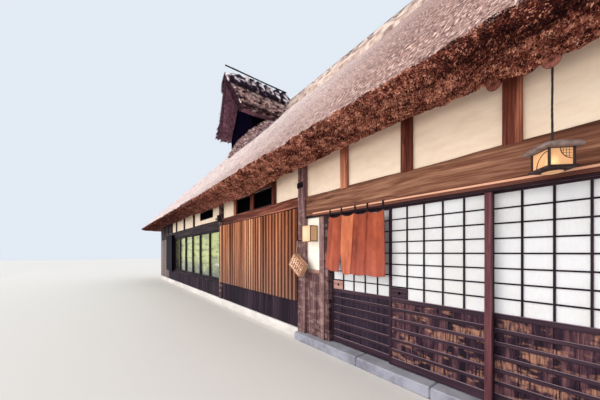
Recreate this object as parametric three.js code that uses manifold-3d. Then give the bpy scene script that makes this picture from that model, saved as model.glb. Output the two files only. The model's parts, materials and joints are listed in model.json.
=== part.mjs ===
// Thatched farmhouse: post-and-beam walls on a plastered plinth, four sliding entrance doors,
// a bar screen, glazed veranda panels, and a hipped thatch roof with a smoke-vent gable.
// Millimetres, +Z up, +X along the front towards the entrance end, -Y out of the front wall.
// Origin: middle of the footprint at ground level.
import * as THREE from 'three';
import { mergeVertices } from 'three/addons/utils/BufferGeometryUtils.js';
import Module from 'manifold-3d';

const wasm = await Module();
wasm.setup();

// Driving dimensions
const HALF_KEN = 909;
const HALF_LENGTH = 10 * HALF_KEN;
const HALF_DEPTH = 4320;
const POST = 140;
const FIT = 0.3;

const PLINTH_TOP = 160;
const SILL_TOP = 120;
const EARTH_FLOOR_TOP = 100;
const FLOOR_TOP = 600;
const FLOOR_THICK = 45;
const DOOR_HEAD = 1964;
const BEAM_BOTTOM = 2000;
const BEAM_TOP = 2310;
const SCREEN_BEAM = [2170, 2350];
const VERANDA_BEAM = [2070, 2344];
const PLATE_BOTTOM = 2880;
const PLATE_TOP = 3000;

const FRONT = -HALF_DEPTH;
const POST_FACE = FRONT - 25;
const WALL_BACK = FRONT + 105;
const PLASTER_FACE = FRONT + 15;
const UPPER_POST_WIDTH = 130;

const SCREEN_POST = [-100, 100];
const ENTRANCE_POST = [4 * HALF_KEN - 91, 4 * HALF_KEN + 91];
const JAMB_POST = [4045, 4155];
const NARROW_RAIL = [1100, 1148];
const DOOR_START = 4238;
const DOOR_COUNT = 4;
const DOOR_WIDTH = 1006;
const DOOR_STILE = 34;
const DOOR_PITCH = DOOR_WIDTH - DOOR_STILE;
const DOOR_THICK = 30;
const DOOR_CLEAR = 6;
const DOOR_EDGE = 5;
const TRACK_BACK = 20;
const MULLION = [6174, 6226];
const PAPER_ZONE = [900, 1925];
const STRIP_Z = [1945, 2025];
const STRIP_START = 3930;
const STRIP_PROUD = 30;

const UPPER_WINDOW_X = [950, 2690];
const UPPER_WINDOW_Z = [2350, 2720];
const UPPER_PANES = [[985, 1795], [1845, 2655]];
const SMALL_WINDOW_X = [-2060, -770];
const SMALL_WINDOW_Z = [2480, 2760];
const WINDOW_RAIL = 30;
const SHUTTER_BOX_X = [-7030, -5780];
const SHUTTER_BOX_TOP = 2200;
const SCREEN_RAILS = [660, 1370, 2040];

const THATCH_PITCH = 1.06;
const EAVE_OUT = 950;
const EAVE_TIP_Z = 2672;
const THATCH_CUT = 600;
const CORNER_RADIUS = 900;
const RIDGE_HALF_GAP = 60;

const RIDGE_CAP_TOP = 8440;
const RIDGE_POLE_RADIUS = 40;

const DORMER_X = -2900;
const DORMER_HALF = 1430;
const DORMER_BASE_Z = 6440;
const DORMER_NEAR_HALF = 1240;
const DORMER_NEAR_BASE_Z = 6650;
const DORMER_WING = 340;
const DORMER_PEAK_Z = 8560;
const DORMER_INNER_PEAK_Z = 8090;
const DORMER_FRONT_BASE = -2890;
const DORMER_FRONT_PEAK = -3110;
const DORMER_WALL_Y = -2380;
const DORMER_CAP_TOP = 8660;
const DORMER_CREST_TOP = 8780;
const DORMER_POLE_RADIUS = 32;

const COLOURS = {
  timber: [0x5a3c37, 0.75],
  darkTimber: [0x2d2332, 0.8],
  beam: [0x7d5541, 0.7],
  lattice: [0xb47350, 0.7],
  plaster: [0xebd7be, 0.9],
  plinth: [0xe1dcd7, 0.9],
  stone: [0xa5aaaf, 0.85],
  earth: [0x9a8672, 0.95],
  paper: [0xf4f2ee, 0.8],
  doorWood: [0x3a2a30, 0.7],
  glass: [0x9fb4ac, 0.1],
  thatch: [0xcdb3a2, 0.95],
  bark: [0x54484e, 0.9],
  cloth: [0xbe5f3c, 0.9],
  lampPaper: [0xe8c890, 0.7],
  lampMetal: [0x6f675c, 0.6],
  wicker: [0x9a7648, 0.8],
};

const house = new THREE.Group();
house.name = 'minka_farmhouse';

const materialOf = (colour) => {
  const [hex, roughness] = COLOURS[colour];
  return new THREE.MeshStandardMaterial({ color: hex, roughness, metalness: 0 });
};

const place = (name, geometry, colour, parent = house) => {
  const mesh = new THREE.Mesh(geometry, materialOf(colour));
  mesh.name = name;
  parent.add(mesh);
  return mesh;
};

// A box from its low and high limits, with corners on exactly those numbers.
const box = ([x0, x1], [y0, y1], [z0, z1]) => {
  const geometry = new THREE.BoxGeometry(1, 1, 1);
  const p = geometry.attributes.position;
  for (let i = 0; i < p.count; i += 1) {
    p.setXYZ(i, p.getX(i) > 0 ? x1 : x0, p.getY(i) > 0 ? y1 : y0, p.getZ(i) > 0 ? z1 : z0);
  }
  return geometry;
};

// Solids for joining and cutting
const toSolid = (geometry) => {
  const bare = geometry.clone();
  bare.deleteAttribute('normal');
  bare.deleteAttribute('uv');
  const merged = mergeVertices(bare, 1e-3);
  return new wasm.Manifold(new wasm.Mesh({
    numProp: 3,
    vertProperties: new Float32Array(merged.attributes.position.array),
    triVerts: new Uint32Array(merged.index.array),
  }));
};

const toGeometry = (solid) => {
  const mesh = solid.getMesh();
  const geometry = new THREE.BufferGeometry();
  const points = new Float32Array(mesh.vertProperties);
  geometry.setAttribute('position', new THREE.BufferAttribute(points, 3));
  geometry.setIndex(new THREE.BufferAttribute(new Uint32Array(mesh.triVerts), 1));
  geometry.computeVertexNormals();
  return geometry;
};

const join = (...geometries) => {
  let solid = toSolid(geometries[0]);
  for (const geometry of geometries.slice(1)) {
    solid = solid.add(toSolid(geometry));
  }
  return toGeometry(solid);
};

const cut = (geometry, ...tools) => {
  let solid = toSolid(geometry);
  for (const tool of tools) {
    solid = solid.subtract(toSolid(tool));
  }
  return toGeometry(solid);
};

const prism = (points, low, high) => {
  const shape = new THREE.Shape(points.map(([x, y]) => new THREE.Vector2(x, y)));
  const geometry = new THREE.ExtrudeGeometry(shape, { depth: high - low, bevelEnabled: false });
  geometry.translate(0, 0, low);
  return geometry;
};

// Plinth: a plastered ring on the ground, open where the stone door sill lies.
const plinthOut = HALF_LENGTH + 20;
const plinthFront = FRONT - 45;
const plinthIn = HALF_LENGTH - 160;
const plinthInFront = FRONT + 160;
const sillStart = ENTRANCE_POST[0];
const doorsEnd = DOOR_START + (DOOR_COUNT - 1) * DOOR_PITCH + DOOR_WIDTH + 2 * DOOR_EDGE;
const sillEnd = doorsEnd + 100;

const plinthOutline = [
  [sillStart, plinthFront], [sillStart, plinthInFront], [-plinthIn, plinthInFront],
  [-plinthIn, -plinthInFront], [plinthIn, -plinthInFront], [plinthIn, plinthInFront],
  [sillEnd, plinthInFront], [sillEnd, plinthFront], [plinthOut, plinthFront],
  [plinthOut, -plinthFront], [-plinthOut, -plinthFront], [-plinthOut, plinthFront],
];
place('foundation', prism(plinthOutline, 0, PLINTH_TOP), 'plinth');
place('stone_sill', box([sillStart, sillEnd], [FRONT - 130, plinthInFront], [0, SILL_TOP]), 'stone');

// Floors: an earthen floor inside the doors and a raised board floor in the rest.
const floorEdge = ENTRANCE_POST[0];
const roomX = HALF_LENGTH - POST;
const earthBack = -plinthInFront;
const earthFloor = box([floorEdge, plinthIn], [plinthInFront, earthBack], [0, EARTH_FLOOR_TOP]);
place('earth_floor', earthFloor, 'earth');
place('raised_floor', join(
  box([-roomX, floorEdge], [WALL_BACK, -WALL_BACK], [FLOOR_TOP - FLOOR_THICK, FLOOR_TOP]),
  box([floorEdge - 60, floorEdge], [plinthInFront, -plinthInFront], [0, FLOOR_TOP - FLOOR_THICK]),
), 'beam');

// Front wall posts
const fullPost = ([x0, x1], face, bottom) => box([x0, x1], [face, WALL_BACK], [bottom, PLATE_BOTTOM]);
const jambStart = JAMB_POST[1];
place('screen_post', fullPost(SCREEN_POST, FRONT - 50, PLINTH_TOP), 'timber');
place('entrance_post', fullPost(ENTRANCE_POST, FRONT - 50, SILL_TOP), 'timber');
place('door_post_left', join(
  box(JAMB_POST, [POST_FACE, WALL_BACK], [SILL_TOP, DOOR_HEAD]),
  box([jambStart, DOOR_START], [FRONT - 5, WALL_BACK], [SILL_TOP, DOOR_HEAD]),
), 'timber');
const mullionDepth = [POST_FACE, FRONT + TRACK_BACK - DOOR_CLEAR];
place('door_mullion', box(MULLION, mullionDepth, [SILL_TOP, DOOR_HEAD]), 'timber');
const rightPost = [doorsEnd, sillEnd];
place('door_post_right', box(rightPost, [POST_FACE, WALL_BACK], [SILL_TOP, DOOR_HEAD]), 'timber');

// Front beams, each with the short upper posts that stand on it
const beamWithPosts = ([x0, x1], [z0, z1], face, centres) => join(
  box([x0, x1], [face, WALL_BACK], [z0, z1]),
  ...centres.map((x) => box(
    [x - UPPER_POST_WIDTH / 2, x + UPPER_POST_WIDTH / 2],
    [POST_FACE, PLASTER_FACE],
    [z1 - 20, PLATE_BOTTOM],
  )),
);
const onGrid = (...steps) => steps.map((n) => n * HALF_KEN);
const entranceRun = [ENTRANCE_POST[1], roomX];
const screenRun = [SCREEN_POST[1], ENTRANCE_POST[0]];
const verandaRun = [-roomX, SCREEN_POST[0]];
const entranceBeam = beamWithPosts(entranceRun, [BEAM_BOTTOM, BEAM_TOP], POST_FACE, onGrid(5, 6, 7, 8, 9));
place('entrance_beam', entranceBeam, 'beam');
const screenBeam = beamWithPosts(screenRun, SCREEN_BEAM, POST_FACE, onGrid(1, 2, 3));
place('screen_beam', screenBeam, 'timber');
const verandaPosts = onGrid(-3, -4.5, -6, -7, -8, -9);
place('veranda_beam', beamWithPosts(verandaRun, VERANDA_BEAM, POST_FACE, verandaPosts), 'timber');
place('door_lintel', join(
  box(entranceRun, [POST_FACE, WALL_BACK], [DOOR_HEAD, BEAM_BOTTOM]),
  box([STRIP_START, roomX], [POST_FACE - STRIP_PROUD, POST_FACE], STRIP_Z),
), 'lattice');

// Upper plaster, with the upper windows cut through it
const plasterBand = ([x0, x1], bottom) => box([x0, x1], [PLASTER_FACE, WALL_BACK], [bottom, PLATE_BOTTOM]);
const through = [PLASTER_FACE - 10, WALL_BACK + 10];
const smallHole = box(SMALL_WINDOW_X, through, SMALL_WINDOW_Z);
place('upper_wall_left', cut(plasterBand(verandaRun, VERANDA_BEAM[1]), smallHole), 'plaster');
const windowHole = box(UPPER_WINDOW_X, through, UPPER_WINDOW_Z);
place('upper_wall_middle', cut(plasterBand(screenRun, SCREEN_BEAM[1]), windowHole), 'plaster');
const windowDepth = [PLASTER_FACE + 20, WALL_BACK - 30];
const recessDepth = [FRONT, PLASTER_FACE + 45];
const within = ([low, high]) => [low + WINDOW_RAIL, high - WINDOW_RAIL];
place('upper_window', cut(
  box(UPPER_WINDOW_X, windowDepth, UPPER_WINDOW_Z),
  ...UPPER_PANES.map((pane) => box(pane, recessDepth, within(UPPER_WINDOW_Z))),
), 'darkTimber');
place('small_window', cut(
  box(SMALL_WINDOW_X, windowDepth, SMALL_WINDOW_Z),
  box(within(SMALL_WINDOW_X), recessDepth, within(SMALL_WINDOW_Z)),
), 'darkTimber');

// Left stretch of the front wall: upright boards, the shutter box and the glazed panels
const lowerWall = [FRONT - 10, WALL_BACK];
const boardsRun = [-roomX, SHUTTER_BOX_X[0]];
place('front_boards', join(
  box(boardsRun, lowerWall, [PLINTH_TOP, VERANDA_BEAM[0]]),
  box([-roomX, SCREEN_POST[0]], lowerWall, [PLINTH_TOP, FLOOR_TOP]),
), 'darkTimber');
place('shutter_box', join(
  box(SHUTTER_BOX_X, lowerWall, [FLOOR_TOP, VERANDA_BEAM[0]]),
  box(SHUTTER_BOX_X, [FRONT - 130, POST_FACE], [FLOOR_TOP - 20, SHUTTER_BOX_TOP]),
  box([SHUTTER_BOX_X[0], SHUTTER_BOX_X[1]], [FRONT - 60, FRONT], [FLOOR_TOP, VERANDA_BEAM[0]]),
), 'darkTimber');
const PANEL_COUNT = 6;
const glazedRun = [SHUTTER_BOX_X[1], SCREEN_POST[0]];
const panelPitch = (glazedRun[1] - glazedRun[0]) / PANEL_COUNT;
const PANEL_STILE = 45;
const panelHoles = [];
for (let n = 0; n < PANEL_COUNT; n += 1) {
  const start = glazedRun[0] + n * panelPitch;
  const span = [start + PANEL_STILE / 2, start + panelPitch - PANEL_STILE / 2];
  panelHoles.push(box(span, [FRONT - 20, FRONT + 60], [FLOOR_TOP + 60, VERANDA_BEAM[0] - 50]));
}
const panelFrame = box(glazedRun, [FRONT, FRONT + 34], [FLOOR_TOP, VERANDA_BEAM[0]]);
place('veranda_panels', cut(panelFrame, ...panelHoles), 'darkTimber');
const paneDepth = [FRONT + 34, FRONT + 39];
place('veranda_glass', box(glazedRun, paneDepth, [FLOOR_TOP, VERANDA_BEAM[0]]), 'glass');

// Bar screen in front of a boarded wall
const SCREEN_Z = [620, 2138];
const SCREEN_BARS = 32;
const SCREEN_GAP = 15;
const RAIL_HEIGHT = 60;
const BAR_WIDTH = 54;
const screenWallTop = SCREEN_BEAM[0];
place('screen_wall', box(screenRun, lowerWall, [PLINTH_TOP, screenWallTop]), 'darkTimber');
const railDepth = [FRONT - 50, FRONT - 10];
const barDepth = [FRONT - 100, FRONT - 45];
const barPitch = (screenRun[1] - screenRun[0] - 2 * SCREEN_GAP - BAR_WIDTH) / (SCREEN_BARS - 1);
const screenParts = [];
for (const rail of SCREEN_RAILS) {
  screenParts.push(box(screenRun, railDepth, [rail, rail + RAIL_HEIGHT]));
}
for (let n = 0; n < SCREEN_BARS; n += 1) {
  const x = screenRun[0] + SCREEN_GAP + n * barPitch;
  screenParts.push(box([x, x + BAR_WIDTH], barDepth, SCREEN_Z));
}
place('bar_screen', join(...screenParts), 'lattice');

// Narrow bay between the entrance post and the door post
const narrowRun = [ENTRANCE_POST[1], JAMB_POST[0]];
place('narrow_plaster', box(narrowRun, [PLASTER_FACE, WALL_BACK], [NARROW_RAIL[1], DOOR_HEAD]), 'plaster');
place('narrow_boards', join(
  box(narrowRun, [FRONT, WALL_BACK], [SILL_TOP, NARROW_RAIL[0]]),
  box(narrowRun, [FRONT - 15, WALL_BACK], NARROW_RAIL),
), 'timber');

// End bay right of the doors
place('right_wall', box([sillEnd, roomX], [PLASTER_FACE, WALL_BACK], [PLINTH_TOP, DOOR_HEAD]), 'plaster');

// Sliding doors: a paper field over a boarded field, with small wheels on the sill
const doorBottom = SILL_TOP + DOOR_CLEAR;
const doorTop = DOOR_HEAD - DOOR_CLEAR;
const MID_RAIL = [853, PAPER_ZONE[0]];
const BOTTOM_RAIL_TOP = 211;
const WHEEL_RADIUS = 25;

const addDoor = (index, x, y) => {
  const door = new THREE.Group();
  door.position.set(x, y, 0);
  house.add(door);
  const inner = [DOOR_STILE, DOOR_WIDTH - DOOR_STILE];
  const slab = box([0, DOOR_WIDTH], [0, DOOR_THICK], [doorBottom, doorTop]);
  const paperHole = box(inner, [-10, DOOR_THICK + 10], PAPER_ZONE);
  const boardRecess = [BOTTOM_RAIL_TOP, MID_RAIL[0]];
  const frame = cut(
    slab,
    paperHole,
    box(inner, [-10, 10], boardRecess),
    box(inner, [DOOR_THICK - 6, DOOR_THICK + 10], boardRecess),
  );
  const wheels = [120, DOOR_WIDTH - 120].map((centre) => {
    const wheel = new THREE.CylinderGeometry(WHEEL_RADIUS, WHEEL_RADIUS, 12, 16);
    wheel.rotateY(Math.PI / 16);
    return wheel.translate(centre, DOOR_THICK / 2, SILL_TOP + FIT + WHEEL_RADIUS);
  });
  place(`door_${index}`, join(frame, ...wheels), 'doorWood', door);
  const sheet = box(inner, [16, 18], PAPER_ZONE);
  place(`door_${index}_paper`, sheet, 'paper', door);
};
const outerTrack = FRONT + TRACK_BACK;
const innerTrack = outerTrack + DOOR_THICK + DOOR_CLEAR;
for (let n = 0; n < DOOR_COUNT; n += 1) {
  addDoor(n + 1, DOOR_START + DOOR_EDGE + n * DOOR_PITCH, n % 2 === 0 ? innerTrack : outerTrack);
}

// Side and back walls: plaster between a frame of corner posts, middle posts and a beam
const SIDE_BEAM = [2070, 2310];
const SIDE_POSTS = [-2592, -864, 864, 2592];
const SIDE_PROUD = 40;
const SIDE_WALL_THICK = 70;
const BACK_PROUD = 30;
const sidePost = (y) => [y - POST / 2, y + POST / 2];
const addSide = (name, sign) => {
  const xs = (a, b) => (sign > 0 ? [a, b] : [-b, -a]);
  const outer = xs(roomX, HALF_LENGTH);
  const proud = xs(HALF_LENGTH - SIDE_PROUD, HALF_LENGTH);
  const parts = [box(outer, [POST_FACE, WALL_BACK], [PLINTH_TOP, PLATE_BOTTOM])];
  parts.push(box(proud, [POST_FACE, -WALL_BACK], SIDE_BEAM));
  for (const y of SIDE_POSTS) {
    parts.push(box(proud, sidePost(y), [PLINTH_TOP, PLATE_BOTTOM]));
  }
  place(`${name}_frame`, join(...parts), 'timber');
  const wallFace = HALF_LENGTH - SIDE_PROUD;
  const slab = xs(wallFace - SIDE_WALL_THICK, wallFace);
  place(`${name}_wall`, box(slab, [WALL_BACK, -WALL_BACK], [PLINTH_TOP, PLATE_BOTTOM]), 'plaster');
};
addSide('left_side', -1);
addSide('right_side', 1);

const backFace = -POST_FACE;
const backProud = [backFace - BACK_PROUD, backFace];
const backParts = [box([-roomX, roomX], backProud, SIDE_BEAM)];
const BACK_POSTS = [-8, -6, -4, -2, 0, 2, 4, 6, 8];
for (const n of BACK_POSTS) {
  const x = n * HALF_KEN;
  backParts.push(box([x - POST / 2, x + POST / 2], backProud, [PLINTH_TOP, PLATE_BOTTOM]));
}
for (const sign of [-1, 1]) {
  const span = sign > 0 ? [roomX, HALF_LENGTH] : [-HALF_LENGTH, -roomX];
  backParts.push(box(span, [-WALL_BACK, backFace], [PLINTH_TOP, PLATE_BOTTOM]));
}
// Back windows: openings cut through the back wall, with closed two-light sashes set between
// the posts
const BACK_WINDOWS = [[-6, -4], [-2, 0], [2, 4]];
const BACK_WINDOW_Z = [900, 2000];
const SASH = 45;
const sashDepth = [backFace - BACK_PROUD, backFace - 6];
const SASH_LAP = 5;
const sashPane = [backFace - 22, backFace - 16];
const backWindowSpan = ([a, b]) => [a * HALF_KEN + POST / 2, b * HALF_KEN - POST / 2];
for (const w of BACK_WINDOWS) {
  const [x0, x1] = backWindowSpan(w);
  const middle = (x0 + x1) / 2;
  const [z0, z1] = BACK_WINDOW_Z;
  backParts.push(box([x0 - SASH_LAP, x1 + SASH_LAP], sashDepth, [z0, z0 + SASH]));
  backParts.push(box([x0 - SASH_LAP, x1 + SASH_LAP], sashDepth, [z1 - SASH, z1]));
  backParts.push(box([x0 - SASH_LAP, x0 + SASH], sashDepth, [z0, z1]));
  backParts.push(box([middle - SASH / 2, middle + SASH / 2], sashDepth, [z0, z1]));
  backParts.push(box([x1 - SASH, x1 + SASH_LAP], sashDepth, [z0, z1]));
  backParts.push(box([x0 - SASH_LAP, x1 + SASH_LAP], sashPane, [z0, z1]));
}
place('back_frame', join(...backParts), 'timber');
const backDepth = [-WALL_BACK, backProud[0]];
place('back_wall', cut(
  box([-roomX, roomX], backDepth, [PLINTH_TOP, PLATE_BOTTOM]),
  ...BACK_WINDOWS.map((w) => box(backWindowSpan(w), [-WALL_BACK - 10, backFace], BACK_WINDOW_Z)),
), 'plaster');

// Wall plate with tie beams across the house, at each second bay
const plateOuterY = HALF_DEPTH + 10;
const plateOuterX = HALF_LENGTH + 10;
const PLATE_WIDTH = 140;
const TIES = [-8, -4, 0, 4, 8];
const TIE_HALF = 90;
const tieEdges = [-plateOuterX + PLATE_WIDTH];
for (const n of TIES) {
  tieEdges.push(n * HALF_KEN - TIE_HALF, n * HALF_KEN + TIE_HALF);
}
tieEdges.push(plateOuterX - PLATE_WIDTH);
const plateInnerY = plateOuterY - PLATE_WIDTH;
const plateBays = [];
for (let i = 0; i < tieEdges.length; i += 2) {
  const bay = [tieEdges[i], tieEdges[i + 1]];
  plateBays.push(box(bay, [-plateInnerY, plateInnerY], [PLATE_BOTTOM - 10, PLATE_TOP + 10]));
}
place('wall_plate', cut(
  box([-plateOuterX, plateOuterX], [-plateOuterY, plateOuterY], [PLATE_BOTTOM, PLATE_TOP]),
  ...plateBays,
), 'timber');

// Thatch: an outer hipped form with rounded hips, less a sharp inner form that rests on the
// outer edge of the wall plate, mitred along the hips into four slopes.
const innerZ = (out) => PLATE_TOP + 0.5 + THATCH_PITCH * (10 - out);
const outerZ = (out) => EAVE_TIP_Z + THATCH_PITCH * (EAVE_OUT - out);
const ridgeOut = RIDGE_HALF_GAP - HALF_DEPTH;
const eaveInner = EAVE_OUT - THATCH_CUT;
const eaveBottom = innerZ(eaveInner);
const CORNER_STEPS = 6;

// A rectangle round the walls, out millimetres away from them, with corners of the given
// radius in the given number of steps.
const eaveRing = (out, radius, steps) => {
  const halfX = HALF_LENGTH + out;
  const halfY = HALF_DEPTH + out;
  const ring = [];
  for (let quarter = 0; quarter < 4; quarter += 1) {
    const sx = quarter === 0 || quarter === 3 ? 1 : -1;
    const sy = quarter < 2 ? 1 : -1;
    for (let step = 0; step <= steps; step += 1) {
      const angle = (quarter + step / Math.max(steps, 1)) * (Math.PI / 2);
      ring.push([
        sx * (halfX - radius) + radius * Math.cos(angle),
        sy * (halfY - radius) + radius * Math.sin(angle),
      ]);
    }
  }
  return ring;
};

// A solid through level rings, closed by a fan at the bottom and the top.
const loft = (levels, steps) => {
  const count = 4 * (steps + 1);
  const points = [];
  for (const [out, z, radius] of levels) {
    eaveRing(out, radius, steps).forEach(([x, y]) => points.push(x, y, z));
  }
  const faces = [];
  for (let i = 0; i + 1 < levels.length; i += 1) {
    for (let j = 0; j < count; j += 1) {
      const k = (j + 1) % count;
      const [a, b, c, d] = [i * count + j, i * count + k, (i + 1) * count + k, (i + 1) * count + j];
      faces.push(a, b, c, a, c, d);
    }
  }
  const bottom = points.length / 3;
  const top = bottom + 1;
  points.push(0, 0, levels[0][1], 0, 0, levels[levels.length - 1][1]);
  const last = (levels.length - 1) * count;
  for (let j = 0; j < count; j += 1) {
    const k = (j + 1) % count;
    faces.push(bottom, k, j, top, last + j, last + k);
  }
  const geometry = new THREE.BufferGeometry();
  geometry.setAttribute('position', new THREE.BufferAttribute(new Float32Array(points), 3));
  geometry.setIndex(faces);
  return geometry;
};
const roundAt = (out) => Math.min(CORNER_RADIUS, (HALF_DEPTH + out) * 0.9);
const outerLevels = [
  [EAVE_OUT - 60, eaveBottom, CORNER_RADIUS],
  [EAVE_OUT, EAVE_TIP_Z + 10, CORNER_RADIUS],
];
for (const [back, swell] of [[40, 12], [700, 18], [2400, 25], [4100, 12]]) {
  const out = EAVE_OUT - back;
  outerLevels.push([out, outerZ(out) + swell, roundAt(out)]);
}
outerLevels.push([ridgeOut, outerZ(ridgeOut), roundAt(ridgeOut)]);
const innerStart = eaveInner + 100;
const thatchOuter = toSolid(loft(outerLevels, CORNER_STEPS));
const thatchInner = toSolid(loft([
  [innerStart, innerZ(innerStart), 0],
  [ridgeOut, innerZ(ridgeOut), 0],
], 0));

// Rafter ends that come through the underside of the thatch, parallel to its slope. A lantern
// hangs from the first.
const RAFTER_Y = FRONT - 352;
const RAFTERS = [['eave_log', 6638, 60, 2642], ['eave_log_left', 6330, 48, 2650]];
const RAFTER_LENGTH = 395;
const rafterTurn = Math.atan(THATCH_PITCH);
const rafter = (x, z, radius, room) => {
  const length = RAFTER_LENGTH + 2 * room;
  const cylinder = new THREE.CylinderGeometry(radius + room, radius + room, length, 20);
  cylinder.translate(0, RAFTER_LENGTH / 2, 0);
  cylinder.rotateX(rafterTurn);
  return cylinder.translate(x, RAFTER_Y, z);
};
const rafterRooms = RAFTERS.map(([name, x, radius, z]) => {
  place(name, rafter(x, z, radius, 0), 'timber');
  return toSolid(rafter(x, z, radius, 0.6));
});
place('upper_wall_right', plasterBand(entranceRun, BEAM_TOP), 'plaster');

const FAR = 12000;
const ridgeHalf = HALF_LENGTH - HALF_DEPTH;
const reach = FAR - ridgeHalf;
const mitre = 0.2;
const wedge = (points) => toSolid(prism(points, 0, FAR));
const longWedge = (sign) => wedge([
  [-ridgeHalf, sign * mitre], [ridgeHalf, sign * mitre],
  [ridgeHalf + reach, sign * (reach + mitre)], [-ridgeHalf - reach, sign * (reach + mitre)],
]);
const endWedge = (sign) => wedge([
  [sign * (ridgeHalf + mitre), 0],
  [sign * (ridgeHalf + reach + mitre), reach],
  [sign * (ridgeHalf + reach + mitre), -reach],
]);
let thatchShell = thatchOuter.subtract(thatchInner);
for (const room of rafterRooms) {
  thatchShell = thatchShell.subtract(room);
}
place('thatch_front', toGeometry(thatchShell.intersect(longWedge(-1))), 'thatch');
place('thatch_back', toGeometry(thatchShell.intersect(longWedge(1))), 'thatch');
place('thatch_left', toGeometry(thatchShell.intersect(endWedge(-1))), 'thatch');
place('thatch_right', toGeometry(thatchShell.intersect(endWedge(1))), 'thatch');

// What sits on the thatch is cut from the outer form, lifted by a small seat gap.
const thatchSeat = thatchOuter.translate([0, 0, 0.45]);

// An upright outline of across and height values, carried from one end to another.
// along(t, height) gives the run coordinate at the start (t 0) and end (t 1). The start is the
// low end of a run along X and the high end of a run along Y, so that faces point outwards.
const carry = (outline, along, toPoint) => {
  const shape = new THREE.Shape(outline.map(([u, z]) => new THREE.Vector2(u, z)));
  const geometry = new THREE.ExtrudeGeometry(shape, { depth: 1, bevelEnabled: false });
  const p = geometry.attributes.position;
  for (let i = 0; i < p.count; i += 1) {
    const [x, y] = toPoint(p.getX(i), along(p.getZ(i) > 0.5 ? 1 : 0, p.getY(i)));
    p.setXYZ(i, x, y, p.getY(i));
  }
  return geometry;
};

// Ridge cap: a saddle of packed thatch over the ridge, with a pole along its crest
const CAP_FOOT = [620, 7450, 7690];
const CAP_SHOULDER = [300, 8130];
const CAP_CREST = 90;
const CAP_END = ridgeHalf + 120;
const capOutline = (grow) => {
  const half = [
    [CAP_FOOT[0] + grow, CAP_FOOT[1]], [CAP_FOOT[0] + grow, CAP_FOOT[2] + grow],
    [CAP_SHOULDER[0] + grow, CAP_SHOULDER[1] + grow], [CAP_CREST, RIDGE_CAP_TOP + grow],
  ];
  return [...half, ...half.map(([u, z]) => [-u, z]).reverse()];
};
const ridgeCap = (grow) => {
  const ends = (t) => (t > 0.5 ? CAP_END + grow : -CAP_END - grow);
  const geometry = carry(capOutline(grow), ends, (u, run) => [run, u]);
  return toSolid(geometry);
};
place('ridge_cap', toGeometry(ridgeCap(0).subtract(thatchSeat)), 'thatch');
const ridgePole = new THREE.CylinderGeometry(RIDGE_POLE_RADIUS, RIDGE_POLE_RADIUS, 2 * CAP_END + 500, 10);
ridgePole.rotateZ(Math.PI / 2);
ridgePole.translate(0, 0, RIDGE_CAP_TOP + FIT + RIDGE_POLE_RADIUS);
place('ridge_pole', ridgePole, 'darkTimber');

// Smoke-vent gable on the front slope: steep thatch leaning forward over a boarded wall
const dormerSlope = (DORMER_PEAK_Z - DORMER_BASE_Z) / DORMER_HALF;
const farInner = DORMER_HALF - DORMER_WING;
const nearInner = DORMER_NEAR_HALF - DORMER_WING;
const PEAK_HALF = 90;
const lean = (z) => {
  const share = (z - DORMER_BASE_Z) / (DORMER_PEAK_Z - DORMER_BASE_Z);
  return DORMER_FRONT_BASE + share * (DORMER_FRONT_PEAK - DORMER_FRONT_BASE);
};
const onDormer = (u, run) => [DORMER_X + u, run];
const dormerOutline = [
  [-DORMER_HALF, DORMER_BASE_Z], [-farInner, DORMER_BASE_Z], [0, DORMER_INNER_PEAK_Z],
  [nearInner, DORMER_NEAR_BASE_Z], [DORMER_NEAR_HALF, DORMER_NEAR_BASE_Z],
  [PEAK_HALF, DORMER_PEAK_Z - PEAK_HALF], [0, DORMER_PEAK_Z - PEAK_HALF / 2],
  [-PEAK_HALF, DORMER_PEAK_Z - PEAK_HALF],
];
const dormerBack = -60;
const CAP_BACK = -160;
const CAP_OVERHANG = 25;
const dormerRun = (t, z) => (t > 0.5 ? lean(z) : dormerBack);
const dormerThatch = toSolid(carry(dormerOutline, dormerRun, onDormer));
const capRoom = ridgeCap(0.5);
place('dormer_thatch', toGeometry(dormerThatch.subtract(thatchSeat).subtract(capRoom)), 'thatch');

const WALL_INSET = 0.6;
const WALL_FOOT_Z = 5600;
const WALL_DEPTH = 340;
const dormerWallOutline = [
  [-farInner + WALL_INSET, WALL_FOOT_Z], [nearInner - WALL_INSET, WALL_FOOT_Z],
  [nearInner - WALL_INSET, DORMER_NEAR_BASE_Z - WALL_INSET], [0, DORMER_INNER_PEAK_Z - 2],
  [-farInner + WALL_INSET, DORMER_BASE_Z - WALL_INSET],
];
const dormerWallRun = (t) => (t > 0.5 ? DORMER_WALL_Y : DORMER_WALL_Y + WALL_DEPTH);
const dormerWall = toSolid(carry(dormerWallOutline, dormerWallRun, onDormer));
place('dormer_wall', toGeometry(dormerWall.subtract(thatchSeat)), 'darkTimber');

const CAP_SIDE = 430;
const CAP_THICK = 140;
const CREST_HALF = 40;
const surfaceAt = (u) => DORMER_PEAK_Z + 1 - dormerSlope * Math.abs(u);
const capFoot = [[CAP_SIDE, surfaceAt(CAP_SIDE)], [CAP_SIDE + 60, surfaceAt(CAP_SIDE) + CAP_THICK]];
const crest = [
  [PEAK_HALF, DORMER_CAP_TOP], [CREST_HALF, DORMER_CAP_TOP], [CREST_HALF, DORMER_CREST_TOP],
];
const nearSide = [[PEAK_HALF, surfaceAt(PEAK_HALF)], ...capFoot, ...crest];
const dormerCapOutline = [...nearSide, ...nearSide.map(([u, z]) => [-u, z]).reverse()];
const capFront = (t, z) => (t > 0.5 ? lean(Math.min(z, DORMER_PEAK_Z)) - CAP_OVERHANG : CAP_BACK);
const dormerCap = toSolid(carry(dormerCapOutline, capFront, onDormer));
const seatRun = (t, z) => (t > 0.5 ? lean(z) - 40 : dormerBack + 40);
const dormerSeat = toSolid(carry(dormerOutline, seatRun, onDormer)).translate([0, 0, 0.6]);
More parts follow.
